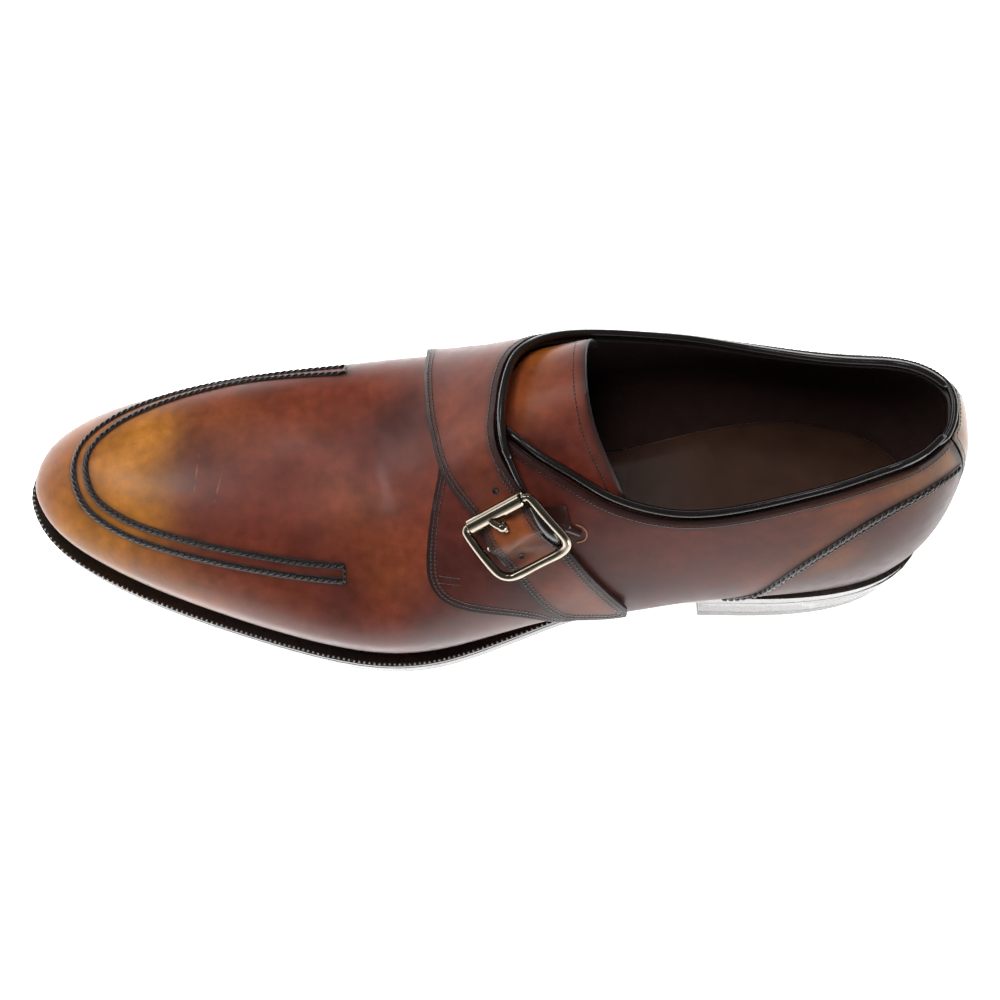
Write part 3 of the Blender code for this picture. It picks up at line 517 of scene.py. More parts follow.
def scuff_mask(tree, coords, start, end):
    """One where a point, seen from above, lies on the scuff between two places; zero off it."""
    start, end = Vector(start) * MM, Vector(end) * MM
    way = end - start
    level = wire(tree, "ShaderNodeVectorMath", operation="MULTIPLY")
    tree.links.new(coords, level.inputs[0])
    level.inputs[1].default_value = (1, 1, 0)
    from_start = wire(tree, "ShaderNodeVectorMath", operation="SUBTRACT")
    tree.links.new(level.outputs[0], from_start.inputs[0])
    from_start.inputs[1].default_value = start
    reach = wire(tree, "ShaderNodeVectorMath", operation="DOT_PRODUCT")
    tree.links.new(from_start.outputs[0], reach.inputs[0])
    reach.inputs[1].default_value = way / way.length_squared
    share = span(tree, reach.outputs["Value"], 0, 1, 0, 1)
    step = wire(tree, "ShaderNodeVectorMath", operation="SCALE")
    step.inputs[0].default_value = way
    tree.links.new(share, step.inputs["Scale"])
    gap = wire(tree, "ShaderNodeVectorMath", operation="DISTANCE")
    tree.links.new(from_start.outputs[0], gap.inputs[0])
    tree.links.new(step.outputs[0], gap.inputs[1])
    return span(tree, gap.outputs["Value"], 0.0, SCUFF_WIDTH * MM, 1.0, 0.0)


def polished_leather(name, scuffs=(), shine=1.0):
    """Calf dyed and waxed by hand: clouded dyes with a few dabs of painted sheen, fine grain, burnished
    edges, a wax coat.
    """
    made, tree, shader = start_material(name)
    coords = wire(tree, "ShaderNodeTexCoord").outputs["Object"]
    dye_and_sheen = wire(tree, "ShaderNodeAttribute", attribute_name="dye_and_sheen").outputs["Color"]
    close = wire(tree, "ShaderNodeAttribute", attribute_name="burnish").outputs["Fac"]
    cloud = noise(tree, coords, 55, 4, 0.6)
    mottle = noise(tree, coords, 260, 2, 0.5)
    grain = noise(tree, coords, 1100, 1, 0.5)
    light = span(tree, cloud, 0.3, 0.7, 0.72, 1.28)
    colour = blend(tree, "MULTIPLY", 1.0, dye_and_sheen, light)
    fleck = span(tree, mottle, 0.25, 0.75, 0.80, 1.20)
    colour = blend(tree, "MULTIPLY", 1.0, colour, fleck)
    speck = span(tree, grain, 0.3, 0.7, 0.95, 1.05)
    colour = blend(tree, "MULTIPLY", 1.0, colour, speck)
    deep = reckon(tree, "MULTIPLY", close, 0.93)
    colour = blend(tree, "MIX", deep, colour, BURNISHED)
    for start, end in scuffs:
        worn = span(tree, mottle, 0.35, 0.65, 0.0, 0.55)
        mark = reckon(tree, "MULTIPLY", scuff_mask(tree, coords, start, end), worn)
        colour = blend(tree, "MIX", mark, colour, SCUFFED)
    tree.links.new(colour, shader.inputs["Base Color"])
    gloss = span(tree, mottle, 0.25, 0.75, 0.34, 0.46)
    gloss = reckon(tree, "ADD", gloss, reckon(tree, "MULTIPLY", close, 0.16))
    tree.links.new(gloss, shader.inputs["Roughness"])
    shader.inputs["Specular IOR Level"].default_value = 0.32 * shine
    shader.inputs["Coat Weight"].default_value = 0.14 * shine
    shader.inputs["Coat Roughness"].default_value = 0.2
    height = reckon(tree, "ADD", reckon(tree, "MULTIPLY", grain, 0.5), reckon(tree, "MULTIPLY", mottle, 0.6))
    bumpy(tree, shader, height, 0.10, 0.0001)
    return made


def plain_finish(name, colour, roughness, metallic=0.0, coat=0.0, coat_roughness=0.1, bump=0.1,
                 scale=500, vary=0.18, gloss_vary=0.06, ior=1.5):
    """Wax, rubber, thread or metal: small clouds of tone, uneven gloss and a fine surface."""
    made, tree, shader = start_material(name)
    coords = wire(tree, "ShaderNodeTexCoord").outputs["Object"]
    cloud = noise(tree, coords, scale * 0.25, 3)
    fine = noise(tree, coords, scale, 4)
    tone = span(tree, cloud, 0.3, 0.7, 1 - vary, 1 + vary)
    tree.links.new(blend(tree, "MULTIPLY", 1.0, colour, tone), shader.inputs["Base Color"])
    tree.links.new(span(tree, fine, 0.3, 0.7, roughness - gloss_vary, roughness + gloss_vary),
                   shader.inputs["Roughness"])
    shader.inputs["Metallic"].default_value = metallic
    shader.inputs["Coat Weight"].default_value = coat
    shader.inputs["Coat Roughness"].default_value = coat_roughness
    shader.inputs["IOR"].default_value = ior
    bumpy(tree, shader, fine, bump, 0.0002)
    return made


def sole_finish(name, line_step=0.0):
    """A waxed dark sole edge, lifted to grey partly as painted sheen, with the faint lines of its layers of
    leather if they have a step.
    """
    made, tree, shader = start_material(name)
    coords = wire(tree, "ShaderNodeTexCoord").outputs["Object"]
    fine = noise(tree, coords, 160, 2)
    cloud = noise(tree, coords, 60, 2)
    colour = blend(tree, "MULTIPLY", 1.0, SOLE_EDGE_AND_SHEEN, span(tree, cloud, 0.3, 0.7, 0.85, 1.15))
    height = fine
    if line_step:
        parts = wire(tree, "ShaderNodeSeparateXYZ")
        tree.links.new(coords, parts.inputs[0])
        lift = reckon(tree, "MULTIPLY", parts.outputs["Z"], 1 / line_step)
        wave = reckon(tree, "PINGPONG", lift, 0.5)
        line = span(tree, wave, 0.0, 0.05, 0.0, 1.0)
        colour = blend(tree, "MIX", line, LAYER_LINE, colour)
        groove = reckon(tree, "MULTIPLY", line, 0.5)
        height = reckon(tree, "ADD", groove, reckon(tree, "MULTIPLY", fine, 0.25))
    tree.links.new(colour, shader.inputs["Base Color"])
    tree.links.new(span(tree, fine, 0.3, 0.7, 0.24, 0.30), shader.inputs["Roughness"])
    shader.inputs["IOR"].default_value = 1.75
    shader.inputs["Coat Weight"].default_value = 0.6
    shader.inputs["Coat Roughness"].default_value = 0.12
    shader.inputs["Coat IOR"].default_value = 1.6
    bumpy(tree, shader, height, 0.03, 0.0002)
    return made


calf = polished_leather("hand dyed calf")
scuffed_calf = polished_leather("hand dyed calf with scuffs", SCUFFS)
quarter_calf = polished_leather("hand dyed quarter calf", shine=0.55)
edge_wax = plain_finish("black edge wax", srgb(14, 9, 8), 0.42, bump=0.2, scale=400)
piping_leather = plain_finish("black piping leather", srgb(11, 7, 7), 0.24, coat=0.5, bump=0.05, scale=260)
chape_leather = plain_finish("black chape leather", srgb(12, 8, 8), 0.2, coat=0.8, coat_roughness=0.06,
                             bump=0.3, scale=300)
tab_leather = plain_finish("dark tab leather", srgb(30, 13, 10), 0.34, bump=0.2, scale=700, coat=0.3)
lining_leather = plain_finish("dark lining leather", srgb(34, 23, 21), 0.52, bump=0.25, scale=700)
sock_leather = plain_finish("sock leather", srgb(36, 22, 16), 0.46, bump=0.2, scale=500, coat=0.05)
thread = plain_finish("waxed brown black thread", srgb(16, 10, 8), 0.3, bump=0.1, scale=900, coat=0.25)
pale_thread = plain_finish("waxed tan thread", srgb(104, 72, 54), 0.45, bump=0.3, scale=2500)
welt_wax = plain_finish("black welt wax", srgb(8, 7, 7), 0.3, coat=0.3, bump=0.1, scale=400, gloss_vary=0.04)
sole_edge = sole_finish("waxed sole edge")
heel_edge = sole_finish("waxed heel layers", 4.6 * MM)
# The heel rubber's grey is lifted partly as painted sheen, for the pale look of the top piece.
rubber = plain_finish("heel rubber", srgb(66, 58, 54), 0.38, bump=0.1, scale=300, coat=0.5, ior=1.6)
# The ribs are black wax like the welt; their pale grey is painted glints.
glint_painted_rib_wax = plain_finish("rib wax with painted glints", srgb(120, 112, 104), 0.12, coat=1.0, bump=0.0, vary=0.05,
                       gloss_vary=0.03, ior=2.2)
nickel = plain_finish("brushed nickel", srgb(158, 149, 134), 0.13, metallic=1.0, bump=0.04, scale=500,
                      vary=0.05, gloss_vary=0.04)

# The panels: slot, the leather of the grain side, and the angle in degrees of a cut edge
PANELS = {
    "upper": ("tan_leather", scuffed_calf, 50), "tongue": ("tan_leather", calf, 33),
    "quarter_lateral": ("brown_leather", quarter_calf, 33),
    "quarter_medial_strap": ("brown_leather", calf, 33), "heel_tab": ("golden_leather", calf, 33),
}
# Everything else that is cut from a CAD node: slot, finish and how often its form is smoothed
TRIM = {
    "binding_lateral": ("black_edge", piping_leather, 1), "binding_medial": ("black_edge", piping_leather, 1),
    "seam_apron_outer": ("black_edge", edge_wax, 1), "seam_apron_inner": ("black_edge", edge_wax, 1),
    "seam_counter_lateral": ("black_edge", edge_wax, 1), "seam_counter_medial": ("black_edge", edge_wax, 1),
    "outsole": ("sole_edge", sole_edge, 2), "welt": ("sole_edge", welt_wax, 1),
    "heel_stack": ("sole_edge", heel_edge, 0), "heel_top_piece": ("heel_rubber", rubber, 0),
    "insole": ("sock_leather", sock_leather, 2), "buckle_frame": ("nickel", nickel, 2),
    "buckle_roller": ("nickel", nickel, 1), "buckle_pin_bar": ("nickel", nickel, 1),
    "buckle_prong": ("nickel", nickel, 2), "buckle_chape": ("black_edge", tab_leather, 2),
}

# Widths in metres of the rounded top edges, and the pieces whose every edge is kept
ROUNDED = {"welt": 1.3 * MM, "heel_stack": 0.5 * MM}
CRISP = ("outsole",)
# How far the bindings are drawn in, and the share of its height that a seam's rib keeps
BINDINGS = ("binding_lateral", "binding_medial")
BINDING_DRAWN_IN = 0.22 * MM
RIB_HEIGHT_KEPT = 0.3


def press_flat(skin, surface):
    """Flattens a seam's rib towards the leather, as its stitches pull it down."""
    for vertex in skin.data.vertices:
        place, normal, _, _ = surface.find_nearest(vertex.co)
        if normal.dot(away_from_heart(place)) < 0:
            normal = -normal
        vertex.co -= normal * ((vertex.co - place).dot(normal) * (1 - RIB_HEIGHT_KEPT))
    skin.data.update()


def draw_in(skin, depth):
    """Moves every point of a bead inwards along its normal."""
    mesh = skin.data
    count = len(mesh.vertices)
    places = np.empty(count * 3)
    normals = np.empty(count * 3)
    mesh.vertices.foreach_get("co", places)
    mesh.vertices.foreach_get("normal", normals)
    mesh.vertices.foreach_set("co", places - normals * depth)
    mesh.update()


skins = {}
rims = {}
for node, (_, _, cut_angle) in PANELS.items():
    skins[node], rims[node] = skin_from(node, 2, sharp=cut_angle)
for node, (slot, finish, levels) in TRIM.items():
    crease, sharp = (1.0, 30) if node in CRISP else (0.9, 50)
    skin, _ = skin_from(node, levels, crease, sharp, wall_sides=False, rounded=ROUNDED.get(node, 0.0))
    skins[node] = skin
    if node in BINDINGS:
        draw_in(skin, BINDING_DRAWN_IN)
    finish_piece(skin, node + "_skin", finish, 40)
skins["welt"].data.materials.append(sole_edge)

# Seam lines laid over the apron and the counter, given in millimetres
APRON_OUTER = [(-156, -33.8, 44), (-168, -32.6, 44), (-179, -30.8, 44), (-190.5, -28.6, 43.5),
               (-201.7, -25.9, 43), (-212.8, -22.7, 42), (-223.5, -18.7, 40.5), (-233.8, -13.5, 40),
               (-242.5, -6, 40), (-246.5, 4.6, 41), (-244.7, 15.7, 42), (-236.5, 23.8, 42),
               (-226.5, 29.4, 42), (-215.6, 33.2, 43), (-204.4, 35.6, 44), (-193, 37.5, 45),
               (-181.7, 38.6, 47), (-170.3, 39.5, 48), (-157, 40.2, 49)]
APRON_INNER = [(-156, -29.5, 46.6), (-167, -28.4, 46), (-177.7, -26.9, 46), (-188.3, -24.9, 46),
               (-198.8, -22.4, 45.5), (-209, -19.4, 44.6), (-219.3, -15.9, 43), (-229, -11.3, 42),
               (-237.7, -5, 42), (-242, 4.7, 43), (-240, 14.7, 44), (-232, 22, 44.5), (-222.4, 27, 45),
               (-212.3, 30.5, 46.5), (-202, 33, 48), (-191.3, 34.8, 49), (-180.6, 35.6, 50.4),
               (-169.8, 36.1, 51), (-157, 36.3, 52)]
COUNTER_LATERAL = [(-33, -36.7, 29.3), (-23.6, -37.8, 35.8), (-17.2, -36.1, 45.7), (-10.3, -32.7, 55),
                   (-2.2, -28.9, 63), (6.2, -24.9, 70.9), (15.4, -20.8, 77.4), (25.8, -15.4, 79.7),
                   (35, -8.4, 76.2)]
COUNTER_MEDIAL = [(-21.2, 37.8, 31.4), (-16.4, 41.9, 39.3), (-8.9, 42.1, 46.7), (-2.6, 39.9, 55),
                  (4.4, 36.7, 62.5), (12, 33.3, 69), (20.4, 29.3, 74.5), (29.3, 24.2, 77.2), (37, 17, 76.4)]
apron_outer = curve_through(APRON_OUTER)
apron_inner = curve_through(APRON_INNER)
counter_lateral = curve_through(COUNTER_LATERAL)
counter_medial = curve_through(COUNTER_MEDIAL)


def surface_of(*pieces):
    """One surface to press stitches on, made of the grain sides of several pieces."""
    places = []
    faces = []
    for piece in pieces:
        base = len(places)
        places += [vertex.co.copy() for vertex in piece.data.vertices]
        grain = [face for face in piece.data.polygons if face.material_index == GRAIN]
        faces += [[base + corner for corner in face.vertices] for face in grain]
    return BVHTree.FromPolygons(places, faces)


# Soft creases and hollows of the vamp, listed one by one: two ends, a reach and a height in millimetres
dent(skins["upper"], [
    ((-168, -4, 54), (-172, -2, 54), 9, -0.55), ((-160, 8, 55), (-152, -14, 53), 7, 0.45),
    ((-147, 8, 58), (-142, -8, 58), 5.5, -0.5), ((-136, 16, 62), (-134, 4, 62), 5, -0.35),
    ((-150, -30, 47), (-138, -38, 44), 7, -0.3), ((-198, 0, 52), (-196, 10, 52), 10, -0.3),
])


def rim_points(node, step=1.2):
    """Places round each rim of a panel, a step apart in millimetres."""
    return [along(points + [points[0]], step * MM) for points, _ in rims[node]]


paint(skins["upper"], RUSSET, [
    (-252, 5, 36, 20, AMBER, 0.9), (-244, -16, 30, 20, OCHRE, 0.85), (-232, -27, 26, 19, OCHRE, 0.8),
    (-215, -36, 24, 18, AMBER, 0.85), (-196, -42, 24, 16, TAN, 0.7), (-247, 20, 34, 16, AMBER, 0.8),
    (-232, 33, 32, 15, TAN, 0.8), (-214, 40, 32, 15, CHESTNUT, 0.7),
    (-229, 6, 46, 15, OCHRE, 1.0), (-220, 15, 47, 12, OCHRE, 0.9), (-221, -5, 44, 13, OCHRE, 0.9),
    (-203, 2, 51, 13, OXBLOOD, 0.85), (-201, -14, 47, 12, OXBLOOD, 0.7), (-192, 20, 54, 13, TAN, 0.75),
    (-172, 20, 55, 13, CHESTNUT, 0.8), (-184, -4, 53, 12, RUSSET, 0.6), (-187, -24, 45, 9, RUSSET, 0.8),
    (-168, -22, 48, 8, OXBLOOD, 0.5), (-160, -3, 54, 9, CHESTNUT, 0.6), (-152, -14, 51, 9, TAN, 0.5),
    (-138, 16, 61, 13, PLUM, 0.8), (-150, 2, 57, 7, OXBLOOD, 0.6), (-145, 32, 56, 12, CHESTNUT, 0.6),
    (-138, -24, 52, 12, CHESTNUT, 0.9), (-142, -34, 46, 10, TAN, 0.5), (-158, -39, 39, 9, PLUM, 0.7),
    (-176, -40, 34, 11, CHESTNUT, 0.7), (-140, -48, 30, 14, RUSSET, 0.8), (-120, -46, 30, 16, OXBLOOD, 0.7),
    # The first dab on the next line, ochre on the counter towards the heel, is painted sheen, not dye.
    (25, -22, 40, 22, OCHRE, 0.8), (10, -32, 30, 16, TAN, 0.8), (38, 4, 40, 18, AMBER, 0.7),
    (25, 28, 40, 20, CHESTNUT, 0.9), (-100, 44, 30, 22, OXBLOOD, 0.7), (-60, 42, 28, 20, RUSSET, 0.7),
    (-170, 44, 30, 18, RUSSET, 0.7),
], [apron_outer, apron_inner, counter_lateral, counter_medial], 1.7)
paint(skins["quarter_medial_strap"], RUSSET, [
    (-121, 10, 75, 11, CHESTNUT, 0.6), (-113, -3, 80, 10, CHESTNUT, 0.85), (-124, 26, 71, 10, OXBLOOD, 0.5),
    (-112, 26, 79, 10, CHESTNUT, 0.8), (-121, -8, 72, 8, OXBLOOD, 0.6), (-107, -14, 78, 7, OXBLOOD, 0.5),
    (-104, -26, 71, 9, TAN, 0.85), (-99, -30, 68, 8, AMBER, 0.5), (-87, -39, 53, 13, CHESTNUT, 0.9),
    (-76, -41, 46, 11, TAN, 0.5), (-100, 38, 60, 16, CHESTNUT, 0.7), (-70, 42, 50, 18, OXBLOOD, 0.7),
    (-40, 40, 50, 18, RUSSET, 0.7), (-10, 38, 55, 16, CHESTNUT, 0.8), (15, 28, 60, 16, TAN, 0.7),
], rim_points("quarter_medial_strap"), 3.2)
paint(skins["quarter_lateral"], OXBLOOD, [
    (-125, -31, 54, 9, PLUM, 0.7), (-119, -38, 49, 10, OXBLOOD, 0.6), (-106, -42, 44, 9, OXBLOOD, 0.8),
    (-84, -34, 58, 11, PLUM, 0.8), (-64, -32, 60, 13, RUSSET, 0.6), (-46, -27, 70, 12, RUSSET, 0.7),
    (-43, -36, 50, 13, RUSSET, 0.9), (-70, -38, 46, 12, PLUM, 0.5), (-27, -30, 62, 10, OXBLOOD, 0.8),
    (-12, -31, 57, 10, CHESTNUT, 0.9), (-16, -24, 73, 9, CHESTNUT, 0.7), (-1, -20, 77, 9, TAN, 0.9),
    # The next dab and the first dab on the line after it, amber and ochre high on the quarter by the heel,
    # are painted sheen, not dye.
    (16, -14, 84, 10, AMBER, 0.9),
    (29, -8, 84, 8, OCHRE, 0.8), (-24, -35, 46, 10, CHESTNUT, 0.8), (-2, -30, 56, 9, AMBER, 0.7),
], rim_points("quarter_lateral") + [counter_lateral], 2.6)
paint(skins["tongue"], RUSSET, [
    # The third dab on the next line, amber at the tongue's top, is a painted highlight, not dye.
    (-97, 12, 84, 9, TAN, 0.9), (-88, 10, 89, 8, CHESTNUT, 0.9), (-92, 29, 83, 8, AMBER, 0.8),
    (-82, 0, 87, 8, OXBLOOD, 0.7), (-94, -2, 82, 7, PLUM, 0.6), (-76, -10, 82, 8, OXBLOOD, 0.6),
], rim_points("tongue"), 2.0)
paint(skins["heel_tab"], OCHRE, [(38, 4, 44, 14, AMBER, 0.8), (32, 6, 90, 5, AMBER, 0.4)],
      rim_points("heel_tab"), 1.2)
for node, (slot, leather, _) in PANELS.items():
    for finish in (leather, edge_wax, lining_leather):
        skins[node].data.materials.append(finish)
    finish_piece(skins[node], node + "_skin", None, 40)


# Sewing: rope stitches over the ribs of the apron and the counter

# How far apart the rope's turns lie, in millimetres, and their slant in degrees
ROPE_PITCH = 2.2
ROPE_SLANT = 30

on_upper = surface_of(skins["upper"])
fine_loop = thread_loop("fine thread loop", 1.15, 0.62, 0.42)
rope_loop = thread_loop("rope thread loop", 2.6, 1.05, 1.1, 8, 7)
on_quarters = surface_of(skins["quarter_lateral"], skins["quarter_medial_strap"])
apron_close = [apron_outer[-1], apron_inner[-1]]
apron_open = [apron_outer[0], apron_inner[0]]
for node, under in (("seam_apron_outer", on_upper), ("seam_apron_inner", on_upper),
                    ("seam_counter_lateral", on_quarters), ("seam_counter_medial", on_quarters)):
    press_flat(skins[node], under)
sew(rope_loop, [apron_outer, apron_inner], on_upper, ROPE_PITCH, "apron_rope_stitches",
    slant=ROPE_SLANT, sunk=-0.38)
sew(rope_loop, [apron_close, apron_open], on_upper, 1.6, "apron_end_stitches", slant=12, sunk=-0.3)
sew(rope_loop, [counter_lateral, counter_medial], on_quarters, ROPE_PITCH, "counter_rope_stitches",
    slant=ROPE_SLANT, sunk=-0.55)
second_rows = []
for line, drop in ((counter_lateral, (1.1, -0.6, -1.6)), (counter_medial, (1.1, 0.6, -1.6))):
    second_rows.append([place + Vector(drop) * MM for place in line])
sew(fine_loop, second_rows, on_quarters, 1.5, "counter_second_stitches", sunk=-0.1)


# Sewing: fine rows along the panels' rims
# How far in from the rim each row runs, in millimetres, and which parts of the rims have one
PIPED_ROW = 2.2
FREE_ROWS = (1.5, 2.9)
TONGUE_ROW = 4.2
HEEL_TAB_ROW = 1.6
PIPING_REACH = 2.2 * MM
BACK_SEAM = 27 * MM
STRAP_BACK = -70 * MM
PIPING_LOW = 26 * MM
FREE_LOW_FRONT = 26 * MM
FREE_LOW_BACK = 34 * MM
TONGUE_ROW_FRONT = -95 * MM
HEEL_TAB_ROW_LOW = 30 * MM

piping_tree = KDTree(sum(len(skins[node].data.vertices) for node in BINDINGS))
for node in BINDINGS:
    for vertex in skins[node].data.vertices:
        piping_tree.insert(vertex.co, 0)
piping_tree.balance()


def piped_edge(place):
    """True where a panel's rim runs under the piping of the opening."""
    _, _, gap = piping_tree.find(place)
    return place.z > PIPING_LOW and place.x < BACK_SEAM and gap < PIPING_REACH


def free_edge(place):
    """True along a panel's own cut edges, and not along the sole behind the strap."""
    lowest = FREE_LOW_FRONT if place.x < STRAP_BACK else FREE_LOW_BACK
    return place.z > lowest and place.x < BACK_SEAM and not piped_edge(place)


def sew_rims(node, kinds_of_row, pitch):
    """Sews a panel along its rims, each kind of row with its inset and where it runs."""
    rows = []
    for line in rims[node]:
        for inset, keep in kinds_of_row:
            rows += rim_row(line, inset * MM, keep)
    sew(fine_loop, rows, surface_of(skins[node]), pitch, node + "_stitches")


quarter_rows = [(PIPED_ROW, piped_edge)] + [(inset, free_edge) for inset in FREE_ROWS]
sew_rims("quarter_lateral", quarter_rows, 1.25)
sew_rims("quarter_medial_strap", quarter_rows, 1.25)
sew_rims("tongue", [(TONGUE_ROW, lambda place: place.x > TONGUE_ROW_FRONT)], 1.3)
sew_rims("heel_tab", [(HEEL_TAB_ROW, lambda place: place.z > HEEL_TAB_ROW_LOW)], 1.3)
bartack = [curve_through([(-125.5, -34.4, 52.4), (-122, -35.4, 53), (-119, -36, 53.4)]),
           curve_through([(-125.5, -36.0, 50.6), (-122, -36.9, 51.2), (-119, -37.4, 51.6)])]
on_lateral = surface_of(skins["quarter_lateral"])
sew(fine_loop, bartack, on_lateral, 1.1, "bartack_stitches")
for spare in (fine_loop, rope_loop):
    bpy.data.objects.remove(spare)


# Buckle: its frame opened out a little towards the foot, the prong's ball, the chape's fold

BUCKLE_MIDDLE = Vector((-107.85, -21.20, 74.20)) * MM
ACROSS = Vector((0.800, 0.271, 0.535)).normalized()
DOWN = Vector((0.564, -0.642, -0.519)).normalized()
OUT = Vector((-0.203, -0.717, 0.666)).normalized()
# The frame's length and width, and how far its end and its two sides open out, in millimetres
FRAME_LENGTH = 20.8
FRAME_WIDTH = 26
OPENED_DOWN = 1.4
OPENED_NEAR = 1.2
OPENED_FAR_MORE = 2.0


def on_buckle(across, down, out=0.0):
    """A place in the buckle's own plane, in millimetres from the middle of its roller."""
    return BUCKLE_MIDDLE + (ACROSS * across + DOWN * down + OUT * out) * MM


def open_out(skin):
    """Opens the frame towards its rear bar, and its far side more than its near one."""
    for vertex in skin.data.vertices:
        place = vertex.co - BUCKLE_MIDDLE
        across, down = place.dot(ACROSS) / MM, place.dot(DOWN) / MM
        share = min(max(down / FRAME_LENGTH, 0), 1)
        side = min(max((across + FRAME_WIDTH / 2) / FRAME_WIDTH, 0), 1)
        sideways = OPENED_NEAR + OPENED_FAR_MORE * side
        vertex.co += (ACROSS * share * sideways + DOWN * share * OPENED_DOWN) * MM
    skin.data.update()


def tube(name, points, radii, material):
    """A bead swept along a line, its radius in millimetres given at each point."""
    data = bpy.data.curves.new(name, "CURVE")
    data.dimensions = "3D"
    data.bevel_depth = 1.0
    data.bevel_resolution = 4
    data.use_fill_caps = True
    data.resolution_u = 6
    line = data.splines.new("NURBS")
    line.points.add(len(points) - 1)
    for knot, place, radius in zip(line.points, points, radii):
        knot.co = (*place, 1)
        knot.radius = radius * MM
    line.use_endpoint_u = True
    line.order_u = 4
    bead = bpy.data.objects.new(name, data)
    bpy.context.scene.collection.objects.link(bead)
    pick(bead)
    bpy.ops.object.convert(target="MESH")
    return finish_piece(bpy.context.object, name, material, 50)


def ball(name, place, size, material):
    """A rounded knob, its three sizes in millimetres."""
    deselect()
    bpy.ops.mesh.primitive_ico_sphere_add(subdivisions=3, radius=0.5, location=place)
    bpy.ops.transform.resize(value=[side * MM for side in size])
    return finish_piece(bpy.context.object, name, material, 50)


open_out(skins["buckle_frame"])
tube("prong_stem", [on_buckle(-2.0, 0.4, 2.6), on_buckle(-1.6, 1.6, 3.0), on_buckle(-1.0, 2.8, 2.9),
                    on_buckle(-0.2, 3.8, 2.5)], [0.8, 0.9, 1.0, 1.2], nickel)
ball("prong_ball", on_buckle(0.1, 4.2, 2.3), (3.7, 3.3, 3.2), nickel)
tube("chape_fold", [on_buckle(10.2, 4.0, -1.0), on_buckle(10.6, 6.5, -0.5), on_buckle(10.8, 9.5, -0.2),
                    on_buckle(11.2, 12.5, 0.0), on_buckle(11.6, 16.0, -0.2), on_buckle(10.8, 19.6, -0.9)],
     [0.8, 1.7, 2.3, 2.6, 2.2, 0.7], chape_leather)
tube("chape_rim", [on_buckle(8.6, 4.5, -0.4), on_buckle(8.2, 9.0, 0.6), on_buckle(8.4, 13.0, 0.9),
                   on_buckle(8.9, 16.5, 0.6), on_buckle(10.2, 19.4, -0.2)],
     [0.35, 0.5, 0.55, 0.5, 0.35], thread)

# The piping's free end on the strap, and the piping across the back of the opening
edge_run = along(curve_through([(-105.2, -4.3, 83.8), (-103.8, -7.3, 82.8), (-102.3, -10.5, 81.0),
                                (-100.5, -13.7, 78.9), (-98.2, -17, 76.8)]), 1.5 * MM)
tube("strap_edge_bead", edge_run, list(np.linspace(1.15, 0.75, len(edge_run))), piping_leather)
back_run = along(curve_through([(24.0, -5.2, 88.4), (26.6, -3.3, 89.2), (28.7, 0.5, 90.0), (29.7, 4.5, 90.6),
                                (29.8, 8.5, 91.0), (28.8, 12.7, 90.9), (26.8, 15.4, 90.6)]), 1.5 * MM)
tube("collar_back_piping", back_run, [1.12] * len(back_run), piping_leather)


def raised_line(points, step, lift):
    """A line on the lateral quarter through given points, lifted a little off the leather."""
    laid = laid_on(along(curve_through(points), step * MM), on_lateral)
    return [place + normal * lift * MM for place, normal in laid]


chape_end = raised_line([(-89.5, -23.4, 70.6), (-85.5, -24.9, 69.8), (-82.0, -26.4, 68.9)], 1.3, 0.15)
tube("chape_end", chape_end, list(np.linspace(1.9, 1.1, len(chape_end))), tab_leather)
slot_line = raised_line([(-83.4, -24.0, 71.2), (-80.9, -24.7, 70.4), (-79.9, -26.4, 68.7),
                         (-80.7, -28.0, 66.9), (-83.0, -28.3, 66.2)], 1.2, 0.25)
tube("slot_stitch", slot_line, [0.22] * len(slot_line), pale_thread)


def punched_hole(name, place, way, radius, rim=0.28, well=0.16):
    """A punched hole: its burnished rim, and in it a black floor that stands in for the shade down the hole,
    in millimetres.
    """
    deselect()
    bpy.ops.mesh.primitive_circle_add(vertices=24, radius=radius * MM, fill_type="NGON")
    hole = bpy.context.object
    bpy.ops.object.mode_set(mode="EDIT")
    bpy.ops.mesh.extrude_region_move(TRANSFORM_OT_translate={"value": (0, 0, rim * MM)})
    bpy.ops.transform.resize(value=(0.82, 0.82, 1))
    bpy.ops.mesh.inset(thickness=0.25 * MM)
    bpy.ops.transform.translate(value=(0, 0, -well * MM))
    bpy.ops.object.mode_set(mode="OBJECT")
    hole.matrix_world = Matrix.Translation(place) @ way.to_track_quat("Z", "Y").to_matrix().to_4x4()
    return finish_piece(hole, name, edge_wax, 40)


on_strap = surface_of(skins["quarter_medial_strap"])
for name, spot in (("strap_hole_upper", (-108, -15, 76)), ("strap_hole_lower", (-100, -31, 63))):
    place, normal = laid_on([Vector(spot) * MM], on_strap)[0]
    punched_hole(name, place - normal * 0.02 * MM, normal, 1.15)


# Welt: the fine ribs pressed by the wheel along its edge, pale with painted glints

ABOVE_FOREFOOT = Vector((-0.150, 0, 0.06))
WELT_LAST_TURN = math.radians(172)
RIB_INSET = 0.55


def welt_edge(surface):
    """Places just inside the welt's outer edge, found from above all the way round."""
    places = []
    for turn in np.linspace(-WELT_LAST_TURN, WELT_LAST_TURN, 900):
        way = Vector((-math.cos(turn), math.sin(turn), 0))
        for reach in np.arange(0.130, 0.015, -0.0003):
            hit, normal, _, _ = surface.ray_cast(ABOVE_FOREFOOT + way * reach, Vector((0, 0, -1)))
            if hit is not None and normal.z > 0.2:
                places.append(hit - way * RIB_INSET * MM)
                break
    return places


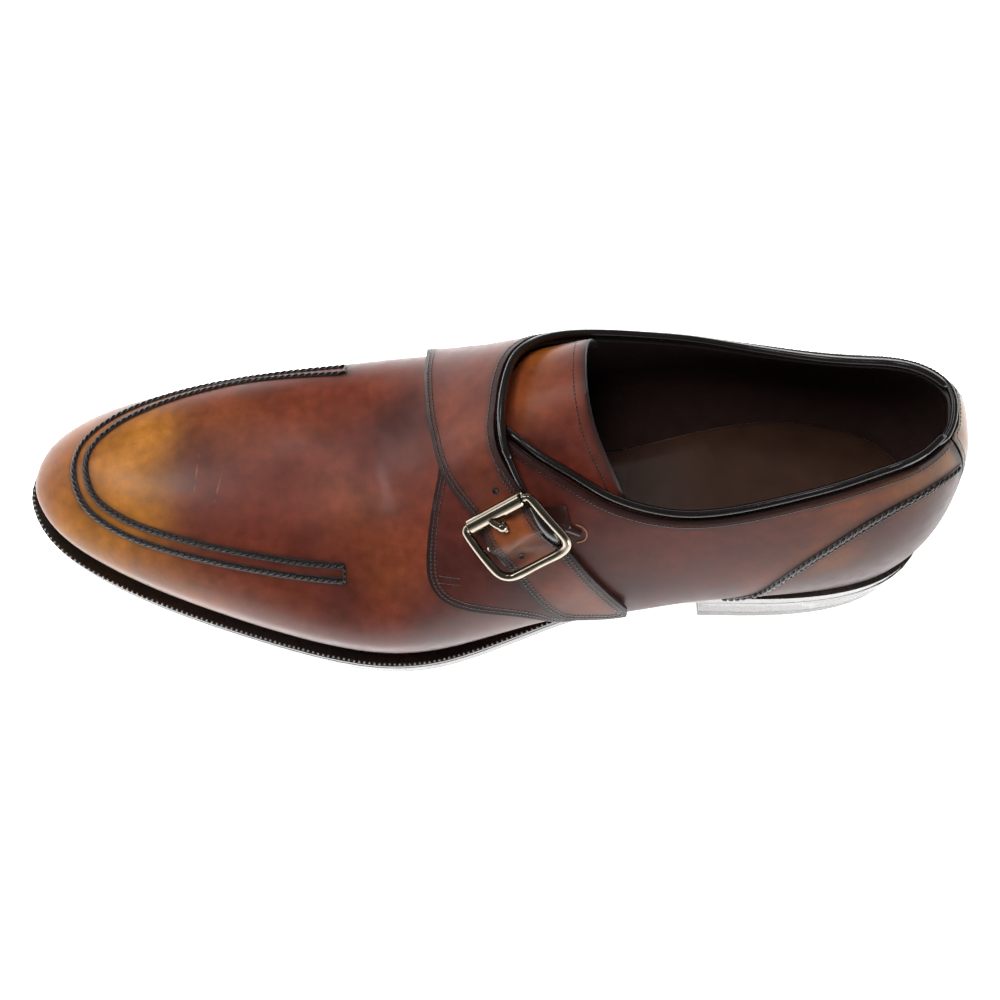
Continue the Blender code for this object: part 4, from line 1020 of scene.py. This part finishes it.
wheel_rib = thread_loop("wheel rib", 0.8, 0.95, 0.75, 8, 7)
whole_welt = BVHTree.FromPolygons([vertex.co for vertex in skins["welt"].data.vertices],
                                  [face.vertices for face in skins["welt"].data.polygons])
sew(wheel_rib, [welt_edge(whole_welt)], whole_welt, 1.85, "welt_wheel_ribs", glint_painted_rib_wax, sunk=-0.05)
bpy.data.objects.remove(wheel_rib)


# Floor, light and camera

FLOOR_SIZE = 6
FLOOR_GLOW = 1.04
# Each light: name, place, aim, width and height, power, and whether polished leather mirrors it
LIGHTS = (
    ("overhead", (-0.55, 0.15, 1.45), (-0.1, 0, 0.05), (0.9, 0.9), 50, False),
    ("toe window", (-0.96, 0.02, 1.05), (-0.2, 0, 0.05), (0.26, 0.26), 1.8, True),
    ("top window", (-0.27, 0.28, 1.27), (-0.15, 0, 0.05), (0.18, 0.18), 0.7, True),
    ("heel window", (0.85, -0.95, 0.35), (0, 0, 0.05), (0.7, 0.5), 5, True),
    ("low window", (-1.12, 0.22, 0.70), (-0.1, 0, 0.08), (0.30, 0.30), 0.9, True),
)
CAMERA_PLACE = (-0.11474, -0.16050, 0.47647)
CAMERA_TURN = (19.6313, -0.9367, -0.6531)
CAMERA_LENS = 50.65


def make_floor():
    """Plain pale paper, a hair under the sole, that glows a little as in bright studio light."""
    deselect()
    bpy.ops.mesh.primitive_plane_add(size=FLOOR_SIZE, location=(0, 0, -0.2 * MM))
    floor = bpy.context.object
    floor.name = "floor"
    paper = plain_finish("pale floor", (0.9, 0.9, 0.9), 0.7, bump=0.0, vary=0.0, scale=20)
    shader = paper.node_tree.nodes["Principled BSDF"]
    shader.inputs["Emission Color"].default_value = (1, 1, 1, 1)
    shader.inputs["Emission Strength"].default_value = FLOOR_GLOW
    floor.data.materials.append(paper)


def make_light(name, place, aim, size, power, seen_in_gloss):
    """A soft light aimed at a place on the shoe."""
    data = bpy.data.lights.new(name, "AREA")
    data.shape = "RECTANGLE"
    data.size, data.size_y = size
    data.energy = power
    lamp = bpy.data.objects.new(name, data)
    bpy.context.scene.collection.objects.link(lamp)
    lamp.location = place
    lamp.rotation_euler = (Vector(aim) - Vector(place)).to_track_quat("-Z", "Y").to_euler()
    lamp.visible_glossy = seen_in_gloss


def make_world():
    """Soft light from low all round, weaker from above and from the viewer's side."""
    world = bpy.data.worlds.new("studio")
    world.use_nodes = True
    tree = world.node_tree
    coords = wire(tree, "ShaderNodeTexCoord")
    parts = wire(tree, "ShaderNodeSeparateXYZ")
    tree.links.new(coords.outputs["Generated"], parts.inputs[0])
    tone = span(tree, parts.outputs["Z"], 0.0, 0.40, 1.0, 0.05)
    viewer_side = span(tree, parts.outputs["Y"], -0.9, -0.1, 0.45, 1.0)
    tree.links.new(reckon(tree, "MULTIPLY", tone, viewer_side), tree.nodes["Background"].inputs["Color"])
    tree.nodes["Background"].inputs["Strength"].default_value = 2.2
    bpy.context.scene.world = world


def make_camera():
    """The camera of the photograph, moved so that it frames the one shoe."""
    data = bpy.data.cameras.new("camera")
    data.sensor_fit = "HORIZONTAL"
    data.sensor_width = 36
    data.lens = CAMERA_LENS
    data.clip_start = 0.01
    camera = bpy.data.objects.new("camera", data)
    bpy.context.scene.collection.objects.link(camera)
    camera.location = CAMERA_PLACE
    camera.rotation_euler = [math.radians(angle) for angle in CAMERA_TURN]
    bpy.context.scene.camera = camera


make_floor()
make_world()
for light in LIGHTS:
    make_light(*light)
bpy.context.scene.view_settings.view_transform = "Standard"
make_camera()
